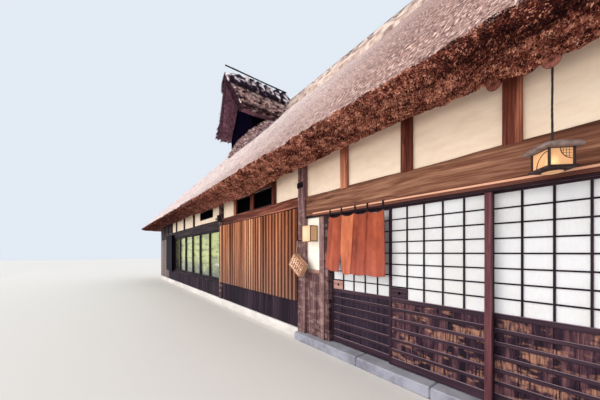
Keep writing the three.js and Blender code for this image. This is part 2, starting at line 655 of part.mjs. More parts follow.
place('dormer_cap', toGeometry(
  dormerCap.subtract(thatchSeat).subtract(capRoom).subtract(dormerSeat),
), 'bark');
const dormerPoleY = [DORMER_FRONT_PEAK, CAP_BACK];
const dormerPole = new THREE.CylinderGeometry(
  DORMER_POLE_RADIUS, DORMER_POLE_RADIUS, dormerPoleY[1] - dormerPoleY[0], 10,
);
const poleZ = DORMER_CREST_TOP + FIT + DORMER_POLE_RADIUS;
dormerPole.translate(DORMER_X, (dormerPoleY[0] + dormerPoleY[1]) / 2, poleZ);
place('dormer_pole', dormerPole, 'darkTimber');

// Entrance curtain: four cloths as one sheet, on five straps that loop over the lintel strip
const CURTAIN_X = [4305, 5206];
const CURTAIN_Z = [1140, 1930];
const CURTAIN_THICK = 10;
const STRAPS = [4319, 4537, 4775, 4968, 5191];
const STRAP_HALF = 13;
const STRAP_THICK = 6;
const stripFace = POST_FACE - STRIP_PROUD;
const curtainDepth = [stripFace - CURTAIN_THICK, stripFace - FIT];
const strapFront = [stripFace - STRAP_THICK, stripFace - FIT];
const strapTop = STRIP_Z[1] + FIT;
const curtainParts = [box(CURTAIN_X, curtainDepth, CURTAIN_Z)];
for (const centre of STRAPS) {
  const x = [centre - STRAP_HALF, centre + STRAP_HALF];
  curtainParts.push(box(x, strapFront, [CURTAIN_Z[1] - 30, strapTop + STRAP_THICK]));
  curtainParts.push(box(x, [stripFace - STRAP_THICK, POST_FACE - FIT], [strapTop, strapTop + STRAP_THICK]));
}
place('entrance_curtain', join(...curtainParts), 'cloth');

// Hanging lantern: a wire, a square roof slab with a low dome, a square paper body under it and
// a round foot, all turned an eighth of a turn
const LANTERN_Y = RAFTER_Y + RAFTERS[0][2] * Math.sin(rafterTurn);
const LANTERN_ROOF_Z = [2074, 2104, 2136];
const LANTERN_ROOF_HALF = 112;
const LANTERN_BODY_Z = 1958;
const LANTERN_HALF = 77;
const LANTERN_FOOT = { radius: 84, height: 36 };
const WIRE_RADIUS = 4;
const wireTop = RAFTERS[0][3] - RAFTERS[0][2] * Math.cos(rafterTurn) - FIT;
const lanternGroup = new THREE.Group();
lanternGroup.position.set(RAFTERS[0][1], LANTERN_Y, 0);
lanternGroup.rotation.z = Math.PI / 4;
house.add(lanternGroup);
const [roofBottom, roofEdge, roofTop] = LANTERN_ROOF_Z;
const wireLength = wireTop - roofTop + 10;
const wire = new THREE.CylinderGeometry(WIRE_RADIUS, WIRE_RADIUS, wireLength, 8);
wire.rotateX(Math.PI / 2);
wire.translate(0, 0, wireTop - wireLength / 2);
const square = (half) => [-half, half];
const dome = new THREE.CylinderGeometry(30, LANTERN_ROOF_HALF * Math.SQRT2, roofTop - roofEdge, 4);
dome.rotateX(Math.PI / 2);
dome.rotateZ(Math.PI / 4);
dome.translate(0, 0, (roofTop + roofEdge) / 2);
const roofSlab = box(square(LANTERN_ROOF_HALF), square(LANTERN_ROOF_HALF), [roofBottom, roofEdge + 1]);
place('lantern_roof', join(roofSlab, dome, wire), 'lampMetal', lanternGroup);
const lanternBody = box(square(LANTERN_HALF), square(LANTERN_HALF), [LANTERN_BODY_Z, roofBottom - FIT]);
const lanternFoot = new THREE.CylinderGeometry(
  LANTERN_FOOT.radius, LANTERN_FOOT.radius, LANTERN_FOOT.height, 16,
);
lanternFoot.rotateX(Math.PI / 2);
lanternFoot.translate(0, 0, LANTERN_BODY_Z - 10);
place('lantern_body', join(lanternBody, lanternFoot), 'lampPaper', lanternGroup);

// Wall lantern on the narrow plaster bay, and a flat woven basket hung on the entrance post
const WALL_LANTERN_X = [3775, 3970];
const WALL_LANTERN_Z = [1590, 1835];
const wallLanternY = [PLASTER_FACE - 150, PLASTER_FACE];
place('wall_lantern', box(WALL_LANTERN_X, wallLanternY, WALL_LANTERN_Z), 'lampPaper');
const BASKET = { x: 3686, z: 1246, half: 118, depth: 100 };
const PEG_X = 3636;
const PEG_Z = 1612;
const basketBack = barDepth[0] - 4;
const basketBody = box([-BASKET.half, BASKET.half], [0, BASKET.depth], [-BASKET.half, BASKET.half]);
basketBody.rotateY(Math.PI / 4);
basketBody.translate(BASKET.x, basketBack - BASKET.depth, BASKET.z);
const cordDepth = [basketBack - 28, basketBack - 22];
const cordLow = BASKET.z + BASKET.half;
const cordTurn = Math.atan2(PEG_X - BASKET.x, PEG_Z - cordLow);
const cordLength = Math.hypot(PEG_X - BASKET.x, PEG_Z - cordLow);
const cordRun = box([-3, 3], cordDepth, [0, cordLength]);
cordRun.rotateY(cordTurn);
cordRun.translate(BASKET.x, 0, cordLow);
const peg = box([PEG_X - 8, PEG_X + 8], [basketBack - 34, FRONT - 50], [PEG_Z - 8, PEG_Z + 8]);
place('basket', join(basketBody, cordRun, peg), 'wicker');

export default house;
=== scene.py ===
import json
import math

import bpy
import numpy as np
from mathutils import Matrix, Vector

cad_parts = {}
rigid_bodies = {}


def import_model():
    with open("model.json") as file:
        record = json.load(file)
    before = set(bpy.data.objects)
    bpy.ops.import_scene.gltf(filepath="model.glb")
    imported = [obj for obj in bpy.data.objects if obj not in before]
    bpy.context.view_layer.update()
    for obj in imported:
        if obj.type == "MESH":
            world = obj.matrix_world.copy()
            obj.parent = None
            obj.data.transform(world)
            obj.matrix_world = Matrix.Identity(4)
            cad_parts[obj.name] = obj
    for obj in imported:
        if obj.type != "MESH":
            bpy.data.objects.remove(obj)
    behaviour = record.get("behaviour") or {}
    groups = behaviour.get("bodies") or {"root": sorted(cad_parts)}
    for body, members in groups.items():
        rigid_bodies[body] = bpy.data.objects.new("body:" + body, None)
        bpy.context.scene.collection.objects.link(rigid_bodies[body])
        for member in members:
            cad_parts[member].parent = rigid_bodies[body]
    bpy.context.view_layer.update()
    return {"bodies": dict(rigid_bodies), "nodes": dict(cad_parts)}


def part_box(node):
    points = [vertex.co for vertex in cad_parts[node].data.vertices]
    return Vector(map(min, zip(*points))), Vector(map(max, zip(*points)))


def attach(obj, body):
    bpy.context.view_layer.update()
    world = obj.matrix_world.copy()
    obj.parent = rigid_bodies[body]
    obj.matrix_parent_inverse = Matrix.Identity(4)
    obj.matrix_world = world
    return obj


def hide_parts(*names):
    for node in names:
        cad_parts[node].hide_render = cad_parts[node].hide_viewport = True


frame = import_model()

# View along the front of the house from beside the doors, at standing eye height, under soft
# even daylight from the open side. The floor is a plain pale plane.
scene = bpy.context.scene
scene.view_settings.view_transform = "Standard"


def rgb(red, green, blue):
    """A colour from 0 to 255 values, decoded from the screen's curve to linear light."""
    share = np.array([red, green, blue]) / 255.0
    linear = np.where(share <= 0.04045, share / 12.92, ((share + 0.055) / 1.055) ** 2.4)
    return (*linear.tolist(), 1.0)


EYE = (6.97, -6.95, 1.42)
VIEW_TURN = math.radians(52.5)
camera_data = bpy.data.cameras.new("camera")
camera_data.lens = 15.48
camera_data.sensor_width = 36.0
camera_data.shift_y = 0.0875
camera_data.clip_end = 200.0
camera = bpy.data.objects.new("camera", camera_data)
camera.location = EYE
camera.rotation_euler = (math.pi / 2, 0.0, VIEW_TURN)
scene.collection.objects.link(camera)
scene.camera = camera

world = bpy.data.worlds.new("pale_sky")
world.use_nodes = True
sky = world.node_tree.nodes["Background"]
sky.inputs["Color"].default_value = rgb(232, 240, 250)
sky.inputs["Strength"].default_value = 0.95
scene.world = world

for light, strength, spread, tint, height, side in (
        ("high_sun", 1.0, 20, (1.0, 0.95, 0.88), 45, -35),
        ("low_fill", 1.9, 50, (1.0, 0.96, 0.9), 8, -12)):
    sun_data = bpy.data.lights.new(light, "SUN")
    sun_data.energy = strength
    sun_data.angle = math.radians(spread)
    sun_data.color = tint
    sun = bpy.data.objects.new(light, sun_data)
    sun.rotation_euler = (math.radians(90 - height), 0.0, math.radians(side))
    scene.collection.objects.link(sun)

bounce_data = bpy.data.lights.new("ground_bounce", "AREA")
bounce_data.shape = "RECTANGLE"
bounce_data.size, bounce_data.size_y = 44.0, 7.0
bounce_data.energy = 2600.0
bounce_data.color = (1.0, 0.94, 0.89)
ground_bounce = bpy.data.objects.new("ground_bounce", bounce_data)
ground_bounce.location = (0.0, -11.5, 0.05)
ground_bounce.rotation_euler = (math.radians(165), 0.0, 0.0)
ground_bounce.visible_camera = False
scene.collection.objects.link(ground_bounce)

FLOOR_HALF = 60.0
floor_mesh = bpy.data.meshes.new("studio_floor")
floor_corners = [(-FLOOR_HALF, -FLOOR_HALF, 0), (FLOOR_HALF, -FLOOR_HALF, 0),
                 (FLOOR_HALF, FLOOR_HALF, 0), (-FLOOR_HALF, FLOOR_HALF, 0)]
floor_mesh.from_pydata(floor_corners, [], [(0, 1, 2, 3)])
floor_paint = bpy.data.materials.new("studio_floor")
floor_paint.use_nodes = True
floor_shader = floor_paint.node_tree.nodes["Principled BSDF"]
floor_shader.inputs["Base Color"].default_value = rgb(226, 221, 214)
floor_shader.inputs["Roughness"].default_value = 0.9
floor_mesh.materials.append(floor_paint)
studio_floor = bpy.data.objects.new("studio_floor", floor_mesh)
scene.collection.objects.link(studio_floor)


# Plinth: a low wall of stone and mortar under the posts, plastered white by hand, with damp
# stains towards the ground. The shape is the frame's own.
def add(tree, kind, inputs=None, out=0, **settings):
    """Adds a shader node, sets or links its inputs, and gives one of its outputs."""
    made = tree.nodes.new("ShaderNode" + kind)
    for key, value in settings.items():
        setattr(made, key, value)
    for key, value in (inputs or {}).items():
        if isinstance(value, bpy.types.NodeSocket):
            tree.links.new(value, made.inputs[key])
        else:
            made.inputs[key].default_value = value
    return made.outputs[out] if len(made.outputs) else None


def ramp(tree, value, stops, smooth=False):
    """A colour read from value: stops are (place, colour) pairs from low to high."""
    made = tree.nodes.new("ShaderNodeValToRGB")
    made.color_ramp.interpolation = "EASE" if smooth else "LINEAR"
    points = made.color_ramp.elements
    while len(points) < len(stops):
        points.new(0.5)
    for point, (place, colour) in zip(points, stops):
        point.position = place
        point.color = rgb(*colour)
    tree.links.new(value, made.inputs[0])
    return made.outputs[0]


def blend(tree, share, first, second):
    """Two colours, each a socket or three values from 0 to 255, mixed by share."""
    made = tree.nodes.new("ShaderNodeMix")
    made.data_type = "RGBA"
    for index, value in ((0, share), (6, first), (7, second)):
        if isinstance(value, bpy.types.NodeSocket):
            tree.links.new(value, made.inputs[index])
        else:
            made.inputs[index].default_value = rgb(*value)
    return made.outputs[2]


def calc(tree, operation, first, second=0.0, third=0.0):
    """One arithmetic step on values."""
    return add(tree, "Math", {0: first, 1: second, 2: third}, operation=operation)


def weigh(tree, first, share, second, rest):
    """The first value times its share plus the second times the rest."""
    return calc(tree, "MULTIPLY_ADD", first, share, calc(tree, "MULTIPLY", second, rest))


def remap(tree, value, low, high, to_low=0.0, to_high=1.0):
    """A value carried from one range to another and held at its ends."""
    return add(tree, "MapRange", {"Value": value, "From Min": low, "From Max": high,
                                  "To Min": to_low, "To Max": to_high})


def level(tree, place, axis=2):
    """One coordinate of a place, its height if no other is asked for."""
    return add(tree, "SeparateXYZ", {"Vector": place}, axis)


def noise(tree, vector, scale, detail=4.0, rough=0.55):
    """Soft random values about 0.5, at scale lumps a metre."""
    return add(tree, "TexNoise", {"Vector": vector, "Scale": scale, "Detail": detail,
                                  "Roughness": rough})


def stretched(tree, vector, scales):
    """The vector scaled differently on each axis."""
    return add(tree, "Mapping", {"Vector": vector, "Scale": tuple(scales)})


def drawn_noise(tree, vector, scales, detail, rough):
    """Soft random values drawn out, with their own number of lumps a metre on each axis."""
    return noise(tree, stretched(tree, vector, scales), 1.0, detail, rough)


def fresh(name):
    """An empty material with its node tree and the position on the house in metres."""
    made = bpy.data.materials.new(name)
    made.use_nodes = True
    tree = made.node_tree
    tree.nodes.clear()
    return made, tree, add(tree, "TexCoord", out=3)


def carried(tree):
    """The grain place and the tone that each point of a piece carries."""
    return (add(tree, "Attribute", attribute_name="grain", out=1),
            add(tree, "Attribute", attribute_name="tone", out=2))


def finish_paint(made, colour, rough, heights=(), metal=0.0, specular=0.3, **extra):
    """Closes a material: colour, roughness, and bump from (height, metres) pairs."""
    tree = made.node_tree
    surface = {"Base Color": colour, "Roughness": rough, "Metallic": metal, "Specular IOR Level": specular}
    surface.update(extra)
    for height, depth in heights:
        inputs = {"Height": height, "Distance": depth, "Strength": 1.0}
        if "Normal" in surface:
            inputs["Normal"] = surface["Normal"]
        surface["Normal"] = add(tree, "Bump", inputs)
    add(tree, "OutputMaterial", {"Surface": add(tree, "BsdfPrincipled", surface)})
    return made


def facing_up(tree, low, high):
    """0 on faces that look sideways or down, 1 on faces that look up."""
    return remap(tree, level(tree, add(tree, "NewGeometry", out=1)), low, high)


def plaster_paint(name, base, shade, stain_top, stain_colour, stain, shine=0.15):
    """Hand-trowelled lime plaster: cloudy tone, fine sand, and a stain that fades upwards."""
    made, tree, place = fresh(name)
    clouds = noise(tree, place, 1.3, 5.0, 0.6)
    trowel = noise(tree, stretched(tree, place, (2.0, 2.0, 5.0)), 2.2, 6.0, 0.6)
    sand = noise(tree, place, 190.0, 3.0, 0.6)
    colour = ramp(tree, weigh(tree, trowel, 0.5, clouds, 0.5), [(0.3, shade), (0.62, base)], True)
    wavy = calc(tree, "MULTIPLY_ADD", clouds, 0.25, level(tree, place))
    colour = blend(tree, remap(tree, wavy, stain_top, stain_top + 0.35, stain, 0.0), colour, stain_colour)
    return finish_paint(made, colour, 0.92, [(sand, 0.0006), (trowel, 0.004)], specular=shine)


def dress(node, paint):
    """Gives a frame node that keeps its own shape its material."""
    made = frame["nodes"][node]
    made.data.materials.clear()
    made.data.materials.append(paint)


dress("foundation", plaster_paint("plinth_plaster", (228, 224, 220), (205, 200, 196), 0.0, (170, 160, 150), 0.55))


# Door sill: long slabs of grey cut stone laid end to end on mortar in front of the doors, split
# faces outside and a worn top, with fine joints between the slabs.
def lattice(cells, seed):
    """Random values from -1 to 1 at whole-number places, the same on every run."""
    mixed = (cells[..., 0] * 374761393 + cells[..., 1] * 668265263 + cells[..., 2] * 1274126177 + seed * 69069)
    mixed = (mixed ^ (mixed >> 13)) * 1103515245
    mixed = mixed ^ (mixed >> 16)
    return ((mixed & 0xFFFF) / 32767.5) - 1.0


def lumps(points, scale, seed):
    """Smooth random values: the lattice's eight nearest values, eased between by 3f^2 - 2f^3."""
    scaled = points * np.asarray(scale)
    cell = np.floor(scaled).astype(np.int64)
    share = scaled - cell
    share = share * share * (3 - 2 * share)
    total = np.zeros(points.shape[:-1])
    for corner in np.ndindex(2, 2, 2):
        corner = np.array(corner)
        weight = np.prod(np.where(corner == 1, share, 1 - share), axis=-1)
        total += weight * lattice(cell + corner, seed)
    return total


def stack(*arrays):
    """Arrays brought to one shape and set side by side as coordinates."""
    return np.stack(np.broadcast_arrays(*arrays), -1)


def skin(rows, sides):
    """Faces over rows of points round a line: a band from row to row, and a cap on each end."""
    start = np.arange(rows - 1)[:, None] * sides + np.arange(sides)
    after = np.arange(rows - 1)[:, None] * sides + (np.arange(sides) + 1) % sides
    quads = np.stack([start, after, after + sides, start + sides], -1).reshape(-1, 4)
    return [quads, np.stack([np.arange(sides - 1, -1, -1), np.arange(sides) + sides * (rows - 1)])]


def bar(low, high, edge=0.004, wander=0.0, step=0.3, tone=0.0, rng=None):
    """A squared timber or slab between two corners, along its longest side: an eight-point
    rounded rectangle carried end to end, its ends drawn in by the edge, its middle wandering."""
    low, high = np.array(low, float), np.array(high, float)
    size = high - low
    along = int(np.argmax(size))
    first, second = (along + 1) % 3, (along + 2) % 3
    half_a, half_b, length = size[first] / 2, size[second] / 2, size[along]
    edge = min(edge, 0.45 * half_a, 0.45 * half_b, 0.2 * length)
    inner = max(int(length / step), 1) if wander > 0 else 1
    run = np.concatenate([[0.0], np.linspace(edge, length - edge, inner + 1), [length]])
    shrink = np.concatenate([[edge], np.zeros(inner + 1), [edge]])[:, None]
    a = np.array([-1, 1, 1, 1, 1, -1, -1, -1.0])
    b = np.array([-1, -1, -1, 1, 1, 1, 1, -1.0])
    cut_a = np.array([1, 1, 0, 0, 1, 1, 0, 0.0])
    across = a * (half_a - shrink - cut_a * edge)
    upward = b * (half_b - shrink - (1 - cut_a) * edge)
    rng = rng or np.random.default_rng(int(abs(low.sum() * 1000)) % 99991)
    if wander > 0:
        phase = rng.uniform(0, 2 * np.pi, (4, 3))
        waves = np.array([1.1, 2.7, 5.9])
        sway = np.sin(run[:, None, None] * waves + phase[None]).sum(-1) * wander / 2.2
        across = across + sway[:, 0:1] + a * sway[:, 2:3] * 0.5
        upward = upward + sway[:, 1:2] + b * sway[:, 3:4] * 0.5
    points = np.zeros((len(run), 8, 3))
    points[..., first] = across + low[first] + half_a
    points[..., second] = upward + low[second] + half_b
    points[..., along] = (run + low[along])[:, None]
    grain = stack(across, upward, run[:, None]) + rng.uniform(0, 50, 3)
    rows = len(run)
    return points.reshape(-1, 3), skin(rows, 8), grain.reshape(-1, 3), np.full(rows * 8, float(tone))


def piece(name, parts, paint, slot, body="house", replaces=(), smooth=False):
    """One object from parts: points, polygons, grain places and tone, joined in one mesh."""
    points, grain, tone = (np.concatenate([part[index] for part in parts]) for index in (0, 2, 3))
    starts = np.cumsum([0] + [len(part[0]) for part in parts])
    loops, sizes = [], []
    for start, part in zip(starts, parts):
        for polygons in part[1]:
            loops.append((polygons + start).ravel())
            sizes.append(np.full(len(polygons), polygons.shape[1]))
    loops, sizes = np.concatenate(loops), np.concatenate(sizes)
    mesh = bpy.data.meshes.new(name)
    mesh.vertices.add(len(points))
    mesh.vertices.foreach_set("co", points.astype(np.float32).ravel())
    mesh.loops.add(len(loops))
    mesh.loops.foreach_set("vertex_index", loops.astype(np.int32))
    mesh.polygons.add(len(sizes))
    mesh.polygons.foreach_set("loop_start", np.concatenate([[0], np.cumsum(sizes)[:-1]]).astype(np.int32))
    mesh.polygons.foreach_set("use_smooth", np.full(len(sizes), smooth))
    for attribute, kind, field, values in (("grain", "FLOAT_VECTOR", "vector", grain),
                                           ("tone", "FLOAT", "value", tone)):
        mesh.attributes.new(attribute, kind, "POINT").data.foreach_set(field, values.astype(np.float32).ravel())
    mesh.update(calc_edges=True)
    mesh.validate()
    mesh.materials.append(paint)
    made = bpy.data.objects.new(name, mesh)
    scene.collection.objects.link(made)
    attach(made, body)
    if replaces:
        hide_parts(*replaces)
    return made


def stone_paint(name, base, dark):
    """Split grey stone: fine grain, cloudy patches, pits, and pale dust on its top."""
    made, tree, place = fresh(name)
    clouds = noise(tree, place, 3.5, 6.0, 0.65)
    grain = noise(tree, place, 120.0, 3.0, 0.7)
    pits = noise(tree, place, 38.0, 4.0, 0.6)
    colour = ramp(tree, weigh(tree, grain, 0.35, clouds, 0.65), [(0.32, dark), (0.6, base)], True)
    colour = blend(tree, calc(tree, "MULTIPLY", facing_up(tree, 0.4, 0.95), 0.35), colour, (198, 196, 200))
    return finish_paint(made, colour, 0.88, [(grain, 0.001), (pits, 0.004)], specular=0.2)


sill_low, sill_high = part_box("stone_sill")
SLAB_SHIFTS = (0, 0.12, -0.15, 0.1, 0)
SLAB_JOINT = 0.002
slab_ends = np.linspace(sill_low.x, sill_high.x, len(SLAB_SHIFTS)) + np.array(SLAB_SHIFTS)
slabs = []
for left, right in zip(slab_ends[:-1], slab_ends[1:]):
    slab = bar((left + SLAB_JOINT, sill_low.y, sill_low.z), (right - SLAB_JOINT, sill_high.y, sill_high.z),
               0.012, 0.002, 0.12)
    slab[0][:, 2] = np.clip(slab[0][:, 2], sill_low.z, sill_high.z)
    slabs.append(slab)
piece("sill_slabs", slabs, stone_paint("sill_stone", (158, 158, 170), (96, 94, 106)), "stone",
      replaces=["stone_sill"])


# Floors: trodden clay and lime inside the doors, and wide planks across the raised rooms, both
# seen only through the openings.
def earth_paint(name):
    """Trodden clay: cloudy brown with small stones and scuffs."""
    made, tree, place = fresh(name)
    clouds = noise(tree, place, 2.0, 6.0, 0.6)
    grit = noise(tree, place, 60.0, 5.0, 0.7)
    colour = ramp(tree, weigh(tree, grit, 0.4, clouds, 0.6), [(0.35, (112, 92, 74)), (0.65, (172, 150, 128))], True)
    return finish_paint(made, colour, 0.95, [(grit, 0.003)], specular=0.15)


def wood_paint(name, dark, middle, light, own_grain=True, along=1.6, across=34.0, rough=(0.6, 0.85),
               cracks=0.6, dust=None, dust_share=0.0, patches=0.35, streak=None, streak_share=0.0,
               low=None, bump=0.0015, sway=0.008, knots=0.0, shine=0.14):
    """Weathered wood: fibres drawn out along the timber, finer lines in them, broad patches,
    dark drying cracks, a pale colour on upward faces, and streaks where the old finish has gone.
    The pale upward faces are dust, and on the doors also a painted highlight.
    The timber's own grain places lead it, or for a frame node the house's length."""
    made, tree, place = fresh(name)
    grain, tone = carried(tree)
    scales = np.array([across, across, along])
    if not own_grain:
        grain, scales = place, scales[::-1]
    soft = add(tree, "TexNoise", {"Vector": stretched(tree, grain, 0.08 * scales + 1.0),
                                  "Scale": 1.0, "Detail": 2.0}, out=1)
    bend = add(tree, "VectorMath", {0: soft, 1: (-0.5, -0.5, -0.5)}, operation="ADD")
    grain = add(tree, "VectorMath", {0: bend, 1: (sway, sway, sway), 2: grain}, operation="MULTIPLY_ADD")
    drawn = stretched(tree, grain, scales)
    fibre = noise(tree, drawn, 1.0, 6.0, 0.62)
    lines = drawn_noise(tree, drawn, (4.0, 4.0, 1.3), 3.0, 0.5)
    cloud = noise(tree, stretched(tree, grain, 0.12 * scales), 1.6, 4.0, 0.6)
    value = weigh(tree, fibre, 0.55, lines, 0.25)
    value = calc(tree, "MULTIPLY_ADD", calc(tree, "SUBTRACT", cloud, 0.5), patches, value)
    value = calc(tree, "ADD", calc(tree, "ADD", value, 0.1), tone)
    colour = ramp(tree, value, [(0.3, dark), (0.5, middle), (0.72, light)])
    if streak is not None:
        worn = remap(tree, drawn_noise(tree, drawn, (1.1, 1.1, 1.3), 3.0, 0.55), 0.38, 0.6)
        area = remap(tree, drawn_noise(tree, place, (5.0, 5.0, 12.0), 2.0, 0.6), 0.5, 0.58, 0.0, streak_share)
        colour = blend(tree, calc(tree, "MULTIPLY", worn, area), colour, streak)
    split = drawn_noise(tree, grain, 0.42 * scales, 2.0, 0.4)
    gap = remap(tree, calc(tree, "ABSOLUTE", calc(tree, "SUBTRACT", split, 0.43)), 0.0, 0.012, cracks, 0.0)
    colour = blend(tree, gap, colour, 0.35 * np.array(dark))
    if knots > 0:
        near = add(tree, "TexVoronoi", {"Vector": stretched(tree, grain, 0.035 * scales + 1.0), "Scale": 1.1})
        ring = calc(tree, "MULTIPLY_ADD", calc(tree, "SINE", calc(tree, "MULTIPLY", near, 90.0)), 0.3, 0.7)
        share = calc(tree, "MULTIPLY", remap(tree, near, 0.03, 0.13, knots, 0.0), ring)
        colour = blend(tree, share, colour, 0.6 * np.array(dark))
    if low is not None:
        grey, foot, top, share = low
        share = remap(tree, level(tree, place), foot, top, share, 0.0)
        colour = blend(tree, share, colour, blend(tree, fibre, 0.75 * np.array(grey), grey))
    if dust is not None:
        colour = blend(tree, calc(tree, "MULTIPLY", facing_up(tree, 0.2, 0.9), dust_share), colour, dust)
    relief = calc(tree, "SUBTRACT", fibre, calc(tree, "MULTIPLY", gap, 1.2))
    return finish_paint(made, colour, remap(tree, fibre, 0.3, 0.7, rough[1], rough[0]), [(relief, bump)],
                        specular=shine)


dress("earth_floor", earth_paint("trodden_earth"))
dress("raised_floor", wood_paint("floor_planks", (74, 52, 42), (118, 84, 64), (150, 112, 88), False, 1.0, 18))


# Posts of the front wall: squared pine and zelkova trunks, planed by hand and darkened by
# smoke, mortised into the sill and the beams, slightly bowed as they grew.
def climb(values, start, span):
    """0 up to start and 1 from start plus span on, straight between; a span may run down."""
    return np.clip((values - start) / span, 0, 1)


def node_bar(node, edge=0.006, wander=0.003, tone=0.0):
    """One squared timber over the whole of a frame node's box."""
    return bar(*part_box(node), edge, wander, 0.25, tone)


post_wood = wood_paint("post_wood", (46, 18, 14), (108, 54, 42), (206, 134, 104), along=1.3, across=24.0,
                       rough=(0.55, 0.8), dust=(170, 130, 110), dust_share=0.4, patches=1.1, sway=0.02, knots=0.6)
low_post_wood = wood_paint("low_post_wood", (54, 34, 38), (98, 68, 70), (156, 124, 120), rough=(0.55, 0.8),
                           dust=(150, 120, 115), dust_share=0.4, patches=0.7, sway=0.012, cracks=0.8,
                           streak=(176, 146, 138), streak_share=0.5)
red_post_wood = wood_paint("red_post_wood", (66, 34, 42), (94, 54, 60), (132, 84, 86), rough=(0.5, 0.75),
                           cracks=0.3)
FRONT = -4.32
WALL_BACK = -4.215
POST_FACE = -4.345
SILL_TOP = 0.12
DOOR_HEAD = 1.964
JAMB_SPLIT = 4.155
for post, tone in (("screen_post", -0.2), ("entrance_post", 0.0)):
    piece(post + "_timber", [node_bar(post, 0.008, 0.002, tone)], low_post_wood, "timber", replaces=[post])
piece("mullion_timber", [node_bar("door_mullion", 0.004, 0.001)], red_post_wood, "red_timber",
      replaces=["door_mullion"])
jamb_low, jamb_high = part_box("door_post_left")
# The jamb strip, the second bar, is toned darker than the post: painted shade in its recess beside the doors.
piece("door_jamb_timbers", [
    bar(jamb_low, (JAMB_SPLIT, jamb_high.y, jamb_high.z), 0.006, 0.002, 0.25, 0.1),
    bar((JAMB_SPLIT + 0.001, FRONT - 0.005, jamb_low.z), jamb_high, 0.004, 0.001, 0.25, -0.12),
], low_post_wood, "timber", replaces=["door_post_left"])
piece("right_post_timber", [node_bar("door_post_right")], low_post_wood, "timber", replaces=["door_post_right"])


# Beams: long adzed trunks laid across the posts, darkened, their upper edge left natural so
# that it rises and falls, with short squared posts standing on them up to the wall plate.
# beam_wood's low setting darkens the beam along its top, from z 2.24 up to 2.36: painted shade on the rounded upper
# edge.
beam_wood = wood_paint("beam_wood", (48, 24, 18), (112, 70, 52), (182, 134, 106), along=1.1, across=18.0,
                       rough=(0.5, 0.8), cracks=0.6, patches=0.5, bump=0.003, sway=0.1, knots=0.9,
                       low=((86, 52, 42), 2.36, 2.24, 0.6))
dark_post_wood = wood_paint("dark_post_wood", (18, 11, 17), (38, 25, 31), (74, 54, 56), along=0.9, across=22.0,
                            rough=(0.5, 0.8), cracks=0.5)
PLATE_BOTTOM = 2.88
PLASTER_FACE = -4.305
HALF_KEN = 0.909
SHORT_POST = 0.13


def on_line(values):
    """Places on the X axis, for random waves that change along it only."""
    return stack(values, 0 * values, 0 * values)


def around(count):
    """Angles spaced evenly round a circle."""
    return np.linspace(0, 2 * np.pi, count, endpoint=False)


def hewn_beam(x_low, x_high, z_low, z_high, y_face, y_back, rise, seed):
    """A trunk squared on three sides: for each place along it, a rounded section whose top
    edge is lifted by rise times slow random waves and whose face swells by adze marks."""
    x = np.linspace(x_low, x_high, int((x_high - x_low) / 0.06))
    angle = around(28) + np.pi / 28
    square = np.stack([np.cos(angle), np.sin(angle)], -1)
    across, upward = (np.sign(square) * np.abs(square) ** 0.28).T
    top = rise * lumps(on_line(x), 0.55, seed) + 0.35 * rise * lumps(on_line(x), 2.1, seed + 1)
    lift = np.clip(upward, 0, 1)[None] * top[:, None]
    y = (y_face + y_back) / 2 + across * (y_back - y_face) / 2
    z = (z_low + z_high) / 2 + upward * (z_high - z_low) / 2
    points = stack(x[:, None], y[None], z[None] + lift)
    marks = lumps(points, (9.0, 5.0, 14.0), seed + 2) * 0.0025
    points = points + stack(0 * across, across, upward)[None] * marks[..., None]
    points[..., 1] = np.maximum(points[..., 1], y_face - 0.004)
    rows, sides = points.shape[:2]
    grain = points[..., [1, 2, 0]] + seed
    return points.reshape(-1, 3), skin(rows, sides), grain.reshape(-1, 3), np.zeros(rows * sides)


def short_posts(steps, z_low):
    """Squared short posts on the half-bay grid, from a beam up to the wall plate."""
    half = SHORT_POST / 2
    return [bar((step * HALF_KEN - half, POST_FACE, z_low), (step * HALF_KEN + half, PLASTER_FACE, PLATE_BOTTOM),
                0.006, 0.002, 0.15) for step in steps]


for node, paint, slot, z_low, z_high, steps, rise, seed in (
        ("entrance_beam", beam_wood, "beam_timber", 2.0, 2.31, (5, 6, 7, 8, 9), 0.024, 11),
        ("screen_beam", post_wood, "timber", 2.17, 2.35, (1, 2, 3), 0.006, 23),
        ("veranda_beam", dark_post_wood, "timber", 2.07, 2.344, (-3, -4.5, -6, -7, -8, -9), 0.008, 37)):
    low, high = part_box(node)
    trunk = hewn_beam(low.x, high.x, z_low, z_high, POST_FACE, WALL_BACK, rise, seed)
    # Past X 6.2 the trunk is toned darker: painted shade at the right end under the eave.
    trunk[3][:] -= 0.08 * climb(trunk[0][:, 0], 6.2, 0.5)
    piece(node + "_trunk", [trunk], paint, slot, smooth=True, replaces=[node])
    piece(node + "_posts", short_posts(steps, z_high - 0.02), paint if paint is dark_post_wood else post_wood,
          "timber")

# The lintel over the doors, and under the beam a strip of three split laths, each warped along it
# from the foot line to the top line.
lintel_low, lintel_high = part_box("door_lintel")
# The lintel board takes the near-black dark_post_wood: painted shade in the dark band under the strip and beam,
# above the doors.
piece("lintel_board", [bar((lintel_low.x, POST_FACE, DOOR_HEAD), (lintel_high.x, WALL_BACK, 2.0), 0.003, 0.0)],
      dark_post_wood, "timber", replaces=["door_lintel"])
STRIP_START = 3.93
STRIP_FACE = POST_FACE - 0.03
STRIP_X = (STRIP_START, 5.3, 5.83, 6.4, 6.8, 7.2, lintel_high.x)
STRIP_TOP = (2.03, 2.015, 2.005, 1.99, 1.985, 1.98, 1.98)
STRIP_FOOT = (1.962, 1.96, 1.949, 1.94, 1.916, 1.9, 1.9)
